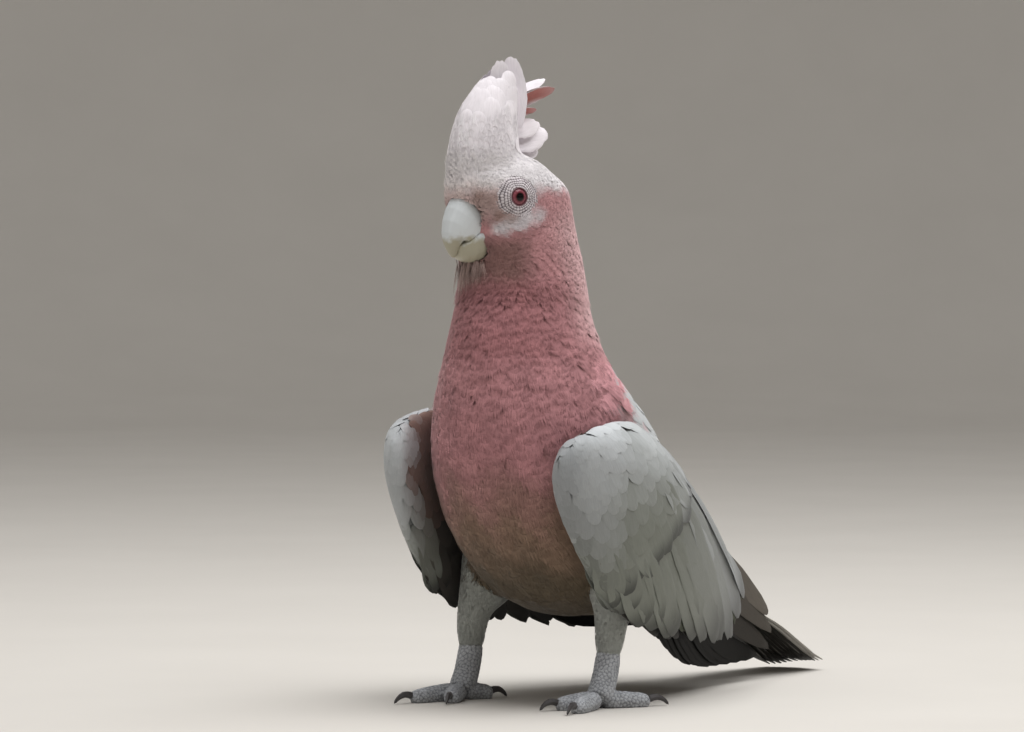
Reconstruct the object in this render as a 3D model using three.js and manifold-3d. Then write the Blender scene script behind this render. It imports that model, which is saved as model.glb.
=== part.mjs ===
// A galah at life size, standing at ease on flat ground with its crest half raised, its wings held a
// little away from the body and its tail tip on the ground.
// Millimetres, +Z up. The bird faces -Y and its left side is +X. The origin is the middle of the
// bounding box, on the ground.
import * as THREE from "three";
import { mergeVertices } from "three/addons/utils/BufferGeometryUtils.js";
import Module from "manifold-3d";

const wasm = await Module();
wasm.setup();

// ---------------------------------------------------------------- driving dimensions
const GAP = 0.3; // clear space between neighbouring pieces
const WELD = 1e-3; // corners closer than this are one
const HEAD_TURN = THREE.MathUtils.degToRad(-17); // towards the bird's right
const HEAD_PIVOT_Y = -6;
const TURN_FROM_Z = 158; // the neck twists between these two heights
const TURN_TO_Z = 184;
const NECK_TOP_Z = 181; // thin cuts that part head, neck and trunk
const NECK_BASE_Z = 146;
const EYE = { x: 16.2, y: -22.8, z: 211.5, radius: 5.6 };
const LEG_X = 35;
const WING_REACH = 52.5; // half width over the middle of the closed wings
const CLAW_RADIUS = 1.7;
const TOE_RADIUS = 3.6;

const X = new THREE.Vector3(1, 0, 0);
const MINUS_X = new THREE.Vector3(-1, 0, 0);
const Z = new THREE.Vector3(0, 0, 1);

// ---------------------------------------------------------------- materials
const finish = (color, roughness) => new THREE.MeshStandardMaterial({ color, roughness, metalness: 0 });
const MATERIALS = {
  white: finish(0xe6dcdc, 0.85),
  pink: finish(0xc47a80, 0.85),
  grey: finish(0xaeb4b4, 0.8),
  slate: finish(0x4c4b4c, 0.7),
  thigh: finish(0x8f9390, 0.85),
  scale: finish(0x82858c, 0.75),
  horn: finish(0xc9cfc6, 0.4),
  claw: finish(0x3c3b3d, 0.45),
  eye: finish(0x6d2a33, 0.1),
};

// ---------------------------------------------------------------- shaping
const rising = (value, low, high) => THREE.MathUtils.smoothstep(value, low, high);

// A closed form of oval sections strung along a smooth line. Each station gives its centre and the
// section's reach to the sides (wide), to the back and to the belly. `side` is the sections' sideways
// axis, `ends` the shares of the line that the two round ends take, `square` under 1 a boxier section there.
function form(stations, { around = 20, along = 16, side = X, ends = [0.12, 0.12], square = () => 1 } = {}) {
  const line = new THREE.CatmullRomCurve3(stations.map((s) => new THREE.Vector3(s.x ?? 0, s.y, s.z)));
  const reach = new THREE.CatmullRomCurve3(
    stations.map((s) => new THREE.Vector3(s.wide, s.back ?? s.wide, s.belly ?? s.back ?? s.wide)),
  );
  const quarter = (share) => Math.sqrt(Math.max(0, 1 - (1 - Math.min(1, share)) ** 2));
  return warped(new THREE.SphereGeometry(1, around, along), (point) => {
    const polar = Math.acos(THREE.MathUtils.clamp(point.y, -1, 1)) / Math.PI;
    const t = (polar + (1 - point.y) / 2) / 2;
    const rim = Math.hypot(point.x, point.z) || 1;
    const cap = quarter(t / ends[0]) * quarter((1 - t) / ends[1]);
    const boxy = (value) => Math.sign(value) * Math.abs(value / rim) ** square(t);
    const [across, over] = [boxy(point.x), boxy(point.z)];
    const tangent = line.getTangent(t);
    const sideways = side.clone().addScaledVector(tangent, -side.dot(tangent)).normalize();
    const outward = sideways.clone().cross(tangent);
    const size = reach.getPoint(t);
    point
      .copy(line.getPoint(t))
      .addScaledVector(sideways, across * size.x * cap)
      .addScaledVector(outward, over * (over > 0 ? size.y : size.z) * cap);
  });
}

function warped(geometry, move) {
  const place = geometry.getAttribute("position");
  const point = new THREE.Vector3();
  for (let i = 0; i < place.count; i += 1) {
    move(point.fromBufferAttribute(place, i));
    place.setXYZ(i, point.x, point.y, point.z);
  }
  return geometry;
}

// A manifold solid of a closed geometry with its faces turned outwards, swelled by `grow` all round.
function solid(geometry, grow = 0) {
  const bare = new THREE.BufferGeometry().setAttribute("position", geometry.getAttribute("position"));
  bare.setIndex(geometry.index);
  const skin = mergeVertices(bare, WELD);
  const place = skin.getAttribute("position");
  const build = () =>
    new wasm.Manifold(
      new wasm.Mesh({ numProp: 3, vertProperties: place.array, triVerts: new Uint32Array(skin.index.array) }),
    );
  if (build().volume() < 0) {
    const corners = Array.from(skin.index.array);
    skin.setIndex(corners.reverse());
  }
  const plain = build();
  if (grow === 0) return plain;
  skin.computeVertexNormals();
  const normal = skin.getAttribute("normal");
  for (let i = 0; i < place.count; i += 1) {
    place.setXYZ(
      i,
      place.getX(i) + grow * normal.getX(i),
      place.getY(i) + grow * normal.getY(i),
      place.getZ(i) + grow * normal.getZ(i),
    );
  }
  return build().add(plain);
}

const block = (width, depth, height, x, y, z) =>
  solid(new THREE.BoxGeometry(width, depth, height).translate(x, y, z));
const FAR = 600;
const above = (z) => block(FAR, FAR, FAR, 0, 0, z + FAR / 2);
const below = (z) => block(FAR, FAR, FAR, 0, 0, z - FAR / 2);

const largest = (shape) => shape.decompose().sort((a, b) => b.volume() - a.volume())[0];

function surface(shape) {
  const { vertProperties, triVerts, numProp, numVert } = shape.getMesh();
  const points = new Float32Array(numVert * 3);
  for (let i = 0; i < numVert; i += 1) points.set(vertProperties.subarray(i * numProp, i * numProp + 3), i * 3);
  return new THREE.BufferGeometry()
    .setAttribute("position", new THREE.BufferAttribute(points, 3))
    .setIndex(new THREE.BufferAttribute(triVerts, 1));
}

const bird = new THREE.Group();

// Slivers that a cut leaves are welded shut or dropped.
function add(name, shape, material) {
  const geometry = surface(largest(solid(surface(largest(shape)))));
  geometry.computeVertexNormals();
  const mesh = new THREE.Mesh(geometry, material);
  mesh.name = name;
  bird.add(mesh);
}

// The neck's twist: everything above it turns with the head, and nothing below it does.
function turnHead(point) {
  const angle = HEAD_TURN * rising(point.z, TURN_FROM_Z, TURN_TO_Z);
  const ahead = point.y - HEAD_PIVOT_Y;
  const { x } = point;
  point.x = x * Math.cos(angle) - ahead * Math.sin(angle);
  point.y = HEAD_PIVOT_Y + x * Math.sin(angle) + ahead * Math.cos(angle);
}

// ---------------------------------------------------------------- body, from crown to tail root
const BODY = [
  { y: -11, z: 231, wide: 16, back: 21, belly: 22 }, // crown
  { y: -13, z: 217, wide: 21, back: 26.5, belly: 30 }, // brow
  { y: -12, z: 203, wide: 22.5, back: 27.5, belly: 26 }, // cheek
  { y: -9.5, z: 189, wide: 24, back: 27.5, belly: 24 }, // jaw
  { y: -6, z: 174, wide: 25.5, back: 28, belly: 28 }, // throat
  { y: -4, z: 158, wide: 29, back: 27, belly: 37 }, // neck
  { y: 1, z: 138, wide: 37, back: 22, belly: 46 }, // shoulders
  { y: 9, z: 117, wide: 44, back: 31, belly: 51 }, // breast
  { y: 21, z: 97, wide: 46, back: 35, belly: 53 }, // keel
  { y: 39, z: 79, wide: 44, back: 36, belly: 51 }, // belly
  { y: 63, z: 64, wide: 37, back: 31, belly: 32 }, // flanks
  { y: 93, z: 52, wide: 27, back: 22, belly: 19 }, // vent
  { y: 124, z: 42, wide: 19, back: 11, belly: 9 }, // tail root
];
const BODY_SHAPE = { around: 24, along: 26, ends: [0.11, 0.05], square: (t) => 1 - 0.16 * rising(t, 0.4, 0.65) };
const body = (grow = 0) => solid(warped(form(BODY, BODY_SHAPE), turnHead), grow);

// ---------------------------------------------------------------- head pieces, before the head turns
const BILL_UPPER = [
  { y: -29, z: 203, wide: 10, back: 9.5, belly: 4 },
  { y: -35, z: 203, wide: 9.8, back: 10, belly: 4.4 },
  { y: -39, z: 198.5, wide: 8, back: 7.4, belly: 4 },
  { y: -41, z: 192, wide: 5, back: 5.4, belly: 3 },
  { y: -42, z: 185.6, wide: 1.5, back: 1.4, belly: 1.3 }, // hook
];
const BILL_LOWER = [
  { y: -22, z: 193.5, wide: 9.4, back: 4.6, belly: 6.6 },
  { y: -29, z: 192, wide: 9.4, back: 4.2, belly: 7 },
  { y: -34.5, z: 190.5, wide: 8, back: 3.4, belly: 5.8 },
  { y: -37, z: 190.2, wide: 5.4, back: 2, belly: 3.6 }, // cutting edge
];
const CREST_FAN = [
  { y: -25.4, z: 219, wide: 14, back: 15, belly: 15 },
  { y: -25.8, z: 229, wide: 13.6, back: 15.6, belly: 16 },
  { y: -24, z: 241, wide: 12.4, back: 13, belly: 14.4 },
  { y: -20.5, z: 252, wide: 10, back: 10, belly: 10.4 },
  { y: -16.4, z: 261, wide: 7.6, back: 6.4, belly: 6.4 },
  { y: -14.4, z: 270, wide: 5.6, back: 4, belly: 4 }, // tips of the longest feathers
];
const CREST_CURL_UPPER = [
  { y: -19, z: 247, wide: 1.6, back: 4.4 },
  { y: -11, z: 253, wide: 1.6, back: 5 },
  { y: -1, z: 256.6, wide: 1.4, back: 4.8 },
  { y: 8.5, z: 258.4, wide: 1.1, back: 3.4 },
];
const CREST_CURL_LOWER = [
  { y: -14, z: 229, wide: 5, back: 7 },
  { y: -9, z: 236, wide: 4, back: 8.4 },
  { y: -2, z: 240.5, wide: 2.6, back: 8 },
  { y: 3.5, z: 242, wide: 1.6, back: 5.4 },
];

const inHead = (stations, shape, grow) => solid(warped(form(stations, shape), turnHead), grow);
const eyeball = (sign, grow = 0) => {
  const ball = new THREE.SphereGeometry(EYE.radius, 14, 9).translate(sign * EYE.x, EYE.y, EYE.z);
  return solid(warped(ball, turnHead), grow);
};
const billUpper = (grow = 0) => inHead(BILL_UPPER, { around: 14, along: 11, side: MINUS_X, ends: [0.1, 0.12] }, grow);
const billLower = (grow = 0) => inHead(BILL_LOWER, { around: 14, along: 9, side: MINUS_X, ends: [0.1, 0.2] }, grow);
const crestFan = (grow = 0) => inHead(CREST_FAN, { around: 14, along: 11, side: MINUS_X, ends: [0.05, 0.1] }, grow);
const crestCurl = (stations) => inHead(stations, { around: 10, along: 9, side: MINUS_X, ends: [0.1, 0.14] });

// ---------------------------------------------------------------- wings
// A closed wing is shaped flat, in the plane of its side view, then laid round the body: its surface
// reaches out furthest over the flank and leans in towards the back above that line.
const wingReach = (y) => WING_REACH / (1 + ((y - 16) / 114) ** 2);
const wingLineZ = (y) => 95 - 0.42 * y;
function layWing(point) {
  const height = point.z - wingLineZ(point.y);
  const roof = 52 - 0.26 * Math.max(0, point.y - 20);
  const lean = height > 0 ? Math.sqrt(Math.max(0.04, 1 - (height / roof) ** 2)) : 1 - (height / 170) ** 2;
  point.x += wingReach(point.y) * lean;
}
const RIGHT_RAISE = 4; // the right wing is held a little higher than the left
const WING = [
  { y: -41, z: 105, wide: 7, back: 9, belly: 9 }, // wrist
  { y: -26, z: 100, wide: 7, back: 19, belly: 25 },
  { y: 0, z: 90, wide: 7, back: 31, belly: 43 },
  { y: 31, z: 77, wide: 6, back: 28, belly: 48 },
  { y: 62, z: 64, wide: 4.6, back: 15, belly: 41 },
  { y: 96, z: 50, wide: 3.4, back: 9, belly: 31 },
  { y: 125, z: 38, wide: 2.4, back: 8, belly: 19 }, // tips of the secondaries
];
const WING_PART_Y = 46; // the coverts' piece ends here and the secondaries' piece begins
// The primaries fold away inside the secondaries, so their stations are set in by x.
const PRIMARIES = [
  { x: -6, y: 34, z: 34, wide: 1.5, back: 5, belly: 5 },
  { x: -6, y: 66, z: 33, wide: 1.5, back: 8, belly: 13 },
  { x: -5.5, y: 100, z: 37, wide: 1.5, back: 28, belly: 24 },
  { x: -3.5, y: 132, z: 31, wide: 1.3, back: 23, belly: 19 },
  { x: -0.5, y: 158, z: 19, wide: 0.9, back: 8, belly: 8 }, // wing tip
];
const mirrored = (point) => {
  point.x *= -1;
};
function wingPiece(sign, stations, shape, grow) {
  const laid = warped(form(stations, shape), layWing);
  return solid(sign > 0 ? laid : warped(laid, mirrored).translate(0, 0, RIGHT_RAISE), grow);
}
const wing = (sign, grow = 0) =>
  wingPiece(sign, WING, { around: 15, along: 14, ends: [0.1, 0.06], square: () => 0.85 }, grow);
const primaries = (sign) => wingPiece(sign, PRIMARIES, { around: 8, along: 14, ends: [0.06, 0.14] });

// ---------------------------------------------------------------- tail
const TAIL = [
  { y: 104, z: 44, wide: 15, back: 2.5, belly: 2.5 },
  { y: 140, z: 30.5, wide: 16, back: 3, belly: 2.6 },
  { y: 180, z: 13.8, wide: 18, back: 2.4, belly: 2 },
  { y: 200, z: 5.2, wide: 18, back: 2, belly: 2 },
  { y: 215, z: 0.6, wide: 17, back: 1.4, belly: 2 },
];
const TAIL_ROLL = 0.22; // its left edge is higher, until the tip lies flat
const rollTail = (point) => {
  point.z += TAIL_ROLL * point.x * (1 - rising(point.y, 165, 208));
};
const tail = (grow = 0) => {
  const blade = form(TAIL, { around: 12, along: 13, ends: [0.05, 0.09], square: () => 0.8 });
  return solid(warped(blade, rollTail), grow).intersect(above(0));
};

// ---------------------------------------------------------------- legs and feet
const thigh = (sign, grow = 0) =>
  solid(
    form(
      [
        { x: sign * 27, y: 27, z: 74, wide: 17, back: 19, belly: 21 },
        { x: sign * 31, y: 19, z: 55, wide: 14.5, back: 15, belly: 17 },
        { x: sign * LEG_X, y: 9, z: 37, wide: 6.6, back: 7.4 },
        { x: sign * LEG_X, y: 6.5, z: 20, wide: 5.2, back: 5.4 },
      ],
      { around: 12, along: 10, ends: [0.12, 0.06] },
    ),
    grow,
  );
const tarsus = (sign, grow = 0) =>
  solid(
    form(
      [
        { x: sign * LEG_X, y: 7.5, z: 28, wide: 4.4 },
        { x: sign * LEG_X, y: 6, z: 19, wide: 4.8, back: 5 },
        { x: sign * LEG_X, y: 3, z: 10, wide: 5, back: 5 },
        { x: sign * LEG_X, y: -1.5, z: 3, wide: 5.4, back: 5 },
      ],
      { around: 12, along: 8, ends: [0.1, 0.12] },
    ),
    grow,
  );

// Two toes point forwards and two backwards. Headings are in degrees from straight ahead, positive
// towards the bird's own side, and lengths run from the foot's middle to the end of the toe's pad.
// The pads and the tail's tip are cut flat where they rest on the ground.
const TOES = [
  { name: "inner_back", heading: -150, length: 15, claw: 7 },
  { name: "inner_front", heading: -24, length: 20, claw: 8 },
  { name: "outer_front", heading: 14, length: 27, claw: 9 },
  { name: "outer_back", heading: 148, length: 24, claw: 8.5 },
];
const FOOT_Y = -1.5;

function toeLine(sign, toe) {
  const heading = THREE.MathUtils.degToRad(toe.heading) * sign;
  const forward = new THREE.Vector3(Math.sin(heading), -Math.cos(heading), 0);
  const foot = new THREE.Vector3(sign * LEG_X, FOOT_Y, 0);
  return { side: forward.clone().cross(Z), at: (out, z) => foot.clone().addScaledVector(forward, out).setZ(z) };
}
function toeSolid(sign, toe, grow = 0) {
  const { side, at } = toeLine(sign, toe);
  const knuckles = [
    [2.5, 3.7, 1.05],
    [0.36 * toe.length, 3.2, 1],
    [0.7 * toe.length, 2.6, 0.94],
    [toe.length, 2, 0.8],
  ];
  const stations = knuckles.map(([out, z, share]) => ({ ...at(out, z), wide: TOE_RADIUS * share }));
  return solid(form(stations, { around: 8, along: 7, side, ends: [0.16, 0.16] }), grow).intersect(above(0));
}
function clawSolid(sign, toe) {
  const { side, at } = toeLine(sign, toe);
  const curve = [
    [-1.5, 2.9, 1],
    [0.3 * toe.claw, 3.9, 0.9],
    [0.7 * toe.claw, 2.8, 0.6],
    [toe.claw, 0.4, 0.3],
  ];
  const stations = curve.map(([out, z, share]) => ({
    ...at(toe.length + out, z),
    wide: CLAW_RADIUS * share * 0.8,
    back: CLAW_RADIUS * share,
  }));
  return solid(form(stations, { around: 6, along: 7, side, ends: [0.12, 0.12] })).intersect(above(0));
}

// ---------------------------------------------------------------- assembly
const SIDES = [
  ["left", 1],
  ["right", -1],
];
const whole = SIDES.reduce(
  (shape, [, sign]) => shape.subtract(eyeball(sign, GAP)),
  body().subtract(billUpper(GAP)).subtract(billLower(GAP)),
);
add("head", whole.intersect(above(NECK_TOP_Z + GAP / 2)), MATERIALS.white);
add("neck", whole.intersect(below(NECK_TOP_Z - GAP / 2)).intersect(above(NECK_BASE_Z + GAP / 2)), MATERIALS.pink);

const grownBody = body(GAP);
const grownTail = tail(GAP);
add(
  "trunk",
  SIDES.reduce((shape, [, sign]) => shape.subtract(thigh(sign, GAP)), whole)
    .intersect(below(NECK_BASE_Z - GAP / 2))
    .subtract(grownTail),
  MATERIALS.pink,
);
add("tail", tail(), MATERIALS.slate);
add("crest_fan", crestFan().subtract(grownBody), MATERIALS.white);
add("crest_curl_upper", crestCurl(CREST_CURL_UPPER).subtract(grownBody).subtract(crestFan(GAP)), MATERIALS.white);
add("crest_curl_lower", crestCurl(CREST_CURL_LOWER).subtract(grownBody).subtract(crestFan(GAP)), MATERIALS.white);
add("bill_upper", billUpper(), MATERIALS.horn);
add("bill_lower", billLower().subtract(billUpper(GAP)), MATERIALS.horn);

for (const [sideName, sign] of SIDES) {
  add(`eye_${sideName}`, eyeball(sign), MATERIALS.eye);

  const outerWing = wing(sign).subtract(grownBody).subtract(thigh(sign, GAP));
  const front = block(FAR, FAR, FAR, 0, WING_PART_Y - GAP / 2 - FAR / 2, 0);
  const rear = block(FAR, FAR, FAR, 0, WING_PART_Y + GAP / 2 + FAR / 2, 0);
  add(`wing_${sideName}_coverts`, outerWing.intersect(front), MATERIALS.grey);
  add(`wing_${sideName}_secondaries`, outerWing.intersect(rear).subtract(grownTail), MATERIALS.grey);
  add(
    `wing_${sideName}_primaries`,
    primaries(sign).subtract(wing(sign, GAP)).subtract(grownBody).subtract(thigh(sign, GAP)).subtract(grownTail),
    MATERIALS.slate,
  );

  const shin = tarsus(sign).subtract(thigh(sign, GAP)).intersect(above(0));
  const toes = TOES.map((toe) => toeSolid(sign, toe));
  add(`thigh_${sideName}`, thigh(sign), MATERIALS.thigh);
  add(`tarsus_${sideName}`, shin, MATERIALS.scale);
  TOES.forEach((toe, index) => {
    const others = TOES.slice(0, index).map((other) => toeSolid(sign, other, GAP));
    const clear = others.reduce((shape, other) => shape.subtract(other), toes[index]);
    add(`toe_${sideName}_${toe.name}`, clear.subtract(tarsus(sign, GAP)), MATERIALS.scale);
    add(`claw_${sideName}_${toe.name}`, clawSolid(sign, toe).subtract(toeSolid(sign, toe, GAP)), MATERIALS.claw);
  });
}

// The origin goes to the middle of the bounding box, on the ground.
const box = new THREE.Box3().setFromObject(bird);
const middle = box.getCenter(new THREE.Vector3());
bird.position.set(-middle.x, -middle.y, -box.min.z);

export default bird;
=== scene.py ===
"""A standing galah, life size: one skin, a coat of solid feathers over it, horn, eyes and scaly feet."""

import math

import bmesh
import bpy
import numpy as np
from mathutils import Matrix, Vector
from mathutils.bvhtree import BVHTree
from mathutils.kdtree import KDTree


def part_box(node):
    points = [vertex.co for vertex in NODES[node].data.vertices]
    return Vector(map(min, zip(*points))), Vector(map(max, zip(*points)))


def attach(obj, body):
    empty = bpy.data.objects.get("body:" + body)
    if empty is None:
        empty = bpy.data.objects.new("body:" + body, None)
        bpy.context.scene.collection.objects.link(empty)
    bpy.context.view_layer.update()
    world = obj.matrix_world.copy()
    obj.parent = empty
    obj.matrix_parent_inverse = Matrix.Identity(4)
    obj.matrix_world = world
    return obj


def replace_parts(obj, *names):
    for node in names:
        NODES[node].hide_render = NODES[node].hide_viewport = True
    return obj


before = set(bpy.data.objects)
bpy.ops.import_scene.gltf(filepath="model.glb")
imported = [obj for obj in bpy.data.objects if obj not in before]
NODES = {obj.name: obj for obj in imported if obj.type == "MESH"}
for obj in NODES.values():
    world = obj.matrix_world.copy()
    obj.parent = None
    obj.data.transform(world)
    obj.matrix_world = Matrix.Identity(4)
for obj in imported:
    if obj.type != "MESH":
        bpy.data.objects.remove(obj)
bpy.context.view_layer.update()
MM = 0.001

# ------------------------------------------------------------------ small tools


def linear(code):
    """An sRGB hex colour as linear red, green and blue."""
    parts = np.array([int(code[i : i + 2], 16) for i in (1, 3, 5)]) / 255
    return np.where(parts <= 0.04045, parts / 12.92, ((parts + 0.055) / 1.055) ** 2.4)


def rising(low, high, value):
    """0 below low, 1 above high, and smooth between."""
    share = np.clip((value - low) / (high - low), 0, 1)
    return share * share * (3 - 2 * share)


def unit(vectors):
    """Vectors made one long."""
    return vectors / np.maximum(np.linalg.norm(vectors, axis=-1, keepdims=True), 1e-12)


def dot(a, b):
    """The product of paired vectors, as a column."""
    return np.sum(a * b, axis=-1, keepdims=True)


def flat_to(normals, ways):
    """Directions laid flat on the surface under them."""
    return unit(ways - dot(ways, normals) * normals)


def mottle(points_mm, size_mm, seed):
    """A smooth blotchy field from -1 to 1, with blotches of about size_mm."""
    rng = np.random.default_rng(seed)
    waves = unit(rng.normal(size=(7, 3))) * 2 * math.pi / (size_mm * rng.uniform(1.4, 2.6, (7, 1)))
    turns = rng.uniform(0, 2 * math.pi, 7)
    return np.clip(np.sin(points_mm @ waves.T + turns).mean(axis=-1) * 2.2, -1, 1)


NEAR_CELLS = [(i, j, k) for i in (-1, 0, 1) for j in (-1, 0, 1) for k in (-1, 0, 1)]


def spaced(points, gaps):
    """Takes points in turn, and leaves out each that lies nearer than its gap to one taken before."""
    cell = float(gaps.max())
    taken, chosen = {}, []
    for index, (point, space) in enumerate(zip(points.tolist(), gaps.tolist())):
        home = tuple(int(math.floor(value / cell)) for value in point)
        around = (taken.get((home[0] + i, home[1] + j, home[2] + k), ()) for i, j, k in NEAR_CELLS)
        if all(math.dist(other, point) >= space for near in around for other in near):
            taken.setdefault(home, []).append(point)
            chosen.append(index)
    return np.array(chosen, int)


def middle(*names):
    """The middle of some CAD nodes' common box, in metres."""
    corners = [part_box(name) for name in names]
    low = np.min([list(c[0]) for c in corners], axis=0)
    high = np.max([list(c[1]) for c in corners], axis=0)
    return (low + high) / 2


# ------------------------------------------------------------------ the bird's own landmarks

# Middle line of the body, in millimetres: how far back (y) and how high (z).
SPINE = np.array(
    [
        (-96, 231),  # crown
        (-98, 217),  # brow
        (-97, 203),  # cheek
        (-94.5, 189),  # jaw
        (-91, 174),  # throat
        (-89, 158),  # neck
        (-84, 138),  # shoulders
        (-76, 117),  # breast
        (-64, 97),  # keel
        (-46, 79),  # belly
        (-22, 64),  # flanks
        (8, 52),  # vent
        (39, 42),  # tail root
    ],
    float,
)
# The coat at each of those places, in millimetres.
FEATHER_GAP = [1.6, 1.5, 1.45, 1.5, 1.8, 2.05, 2.45, 2.7, 3.0, 3.3, 3.6, 4.0, 4.0]
FEATHER_LENGTH = [7, 6, 6, 7.5, 9, 10.5, 12.5, 14, 15, 15.5, 16, 18, 20]
FEATHER_WIDTH = [3.3, 3.0, 2.8, 3.1, 4.0, 5.2, 6.8, 8.0, 8.8, 9.4, 10, 11, 12]
COAT_DEPTH = [1.5, 1.4, 1.4, 1.6, 2.1, 2.7, 3.2, 3.6, 3.8, 3.8, 3.6, 3.2, 2.6]

EYES = {"left": middle("eye_left"), "right": middle("eye_right")}
EYE_RADIUS = (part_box("eye_left")[1].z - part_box("eye_left")[0].z) / 2
TO_LEFT = unit(EYES["left"] - EYES["right"])
FACING = np.array([TO_LEFT[1], -TO_LEFT[0], 0.0])
HEAD_MIDDLE = (EYES["left"] + EYES["right"]) / 2 - FACING * 3.8 * MM
BILL_ROOT = HEAD_MIDDLE + FACING * 15 * MM - np.array([0, 0, 9 * MM])
EYE_RING = 7.7 * MM  # radius of the bare skin round each eye
SIDES = {"left": 1, "right": -1}
GAZE = {side: unit(TO_LEFT * sign + FACING * 0.14) for side, sign in SIDES.items()}  # each eye's axis
RIGHT_RAISE = 4  # mm that the right wing is held higher

SEED = 11


def along_body(points):
    """For each point: its place along the middle line, the line's direction there and the point's
    angle round it, from 0 at the back to pi at the front."""
    p = points[:, 1:] / MM
    best = np.full(len(p), np.inf)
    place = np.zeros(len(p))
    for index, (a, b) in enumerate(zip(SPINE[:-1], SPINE[1:])):
        share = np.clip((p - a) @ (b - a) / ((b - a) @ (b - a)), 0, 1)
        gap = np.linalg.norm(p - (a + share[:, None] * (b - a)), axis=1)
        nearer = gap < best
        best = np.where(nearer, gap, best)
        place = np.where(nearer, index + share, place)
    knots = np.arange(len(SPINE))
    lines = unit(np.gradient(SPINE, axis=0))
    way = unit(np.stack([np.interp(place, knots, lines[:, i]) for i in (0, 1)], axis=1))
    centre = np.stack([np.interp(place, knots, SPINE[:, i]) for i in (0, 1)], axis=1)
    backward = np.stack([-way[:, 1], way[:, 0]], axis=1)
    out = p - centre
    angle = np.arctan2(np.abs(points[:, 0] / MM), np.sum(out * backward, axis=1))
    direction = np.stack([np.zeros(len(p)), way[:, 0], way[:, 1]], axis=1)
    return place, direction, angle


def in_head(points):
    """Points in millimetres as the head holds them: left, ahead and up from between the eyes."""
    away = (points - HEAD_MIDDLE) / MM
    return np.stack([away @ TO_LEFT, away @ FACING, away[:, 2]], axis=1)


def head_point(left, ahead, up):
    """A place in metres given in the head's own frame, in mm from between the eyes."""
    left, ahead, up = (np.asarray(value, float)[..., None] for value in (left, ahead, up))
    return HEAD_MIDDLE + (TO_LEFT * left + FACING * ahead + np.array([0, 0, 1.0]) * up) * MM


# ------------------------------------------------------------------ markings

CREST_WHITE = linear("#ECE6EB")
CAP_WHITE = linear("#E4DFE1")
FOREHEAD = linear("#F4E6E2")
LORES_BROWN = linear("#A58881")
FACE_PINK = linear("#C99497")
NAPE_PINK_AND_LIGHT = linear("#DBB0B2")
NECK_PINK = linear("#C48C90")
SHOULDER_PINK = linear("#D79DA3")
BEARD_GREY = linear("#B59C96")
BREAST_PINK = linear("#BB8589")
CHIN_SHADE = linear("#7C6159")
THROAT_ROSE_AND_SHADE = linear("#A06A6D")
BELLY_BROWN_AND_SHADE = linear("#876F5E")
VENT_BROWN_AND_SHADE = linear("#625645")
MANTLE_GREY = linear("#C3C7C9")
RUMP_GREY = linear("#A9AAA6")
COVERT_GREY = linear("#B6BABD")
FLIGHT_GREY = linear("#868A81")
FLIGHT_TIP = linear("#6B6F61")
INNER_WING = linear("#7F655C")
PRIMARY_SLATE = linear("#46423D")
TAIL_GREY = linear("#ABA8A2")
TAIL_SLATE_AND_SHADE = linear("#24221F")
THIGH_GREY = linear("#A4A7A2")
SHANK_GREY = linear("#B4B7BC")
SHANK_CREASE_SHADE = linear("#7B7D82")
RING_SKIN = linear("#D6CED2")
RING_CREASE_SHADE = linear("#544A4F")
LID_RED = linear("#6E4A50")
PUPIL = linear("#050304")
IRIS_INNER = linear("#5C242A")
IRIS_OUTER = linear("#92505A")
IRIS_RIM = linear("#1B0E11")
BILL_SKIN = linear("#96766F")
CREST_RED = linear("#A8625C")


def blend(a, b, share):
    """A colour at each point, share of the way from a to b."""
    return a + (b - a) * np.reshape(share, (-1, 1))


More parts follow.
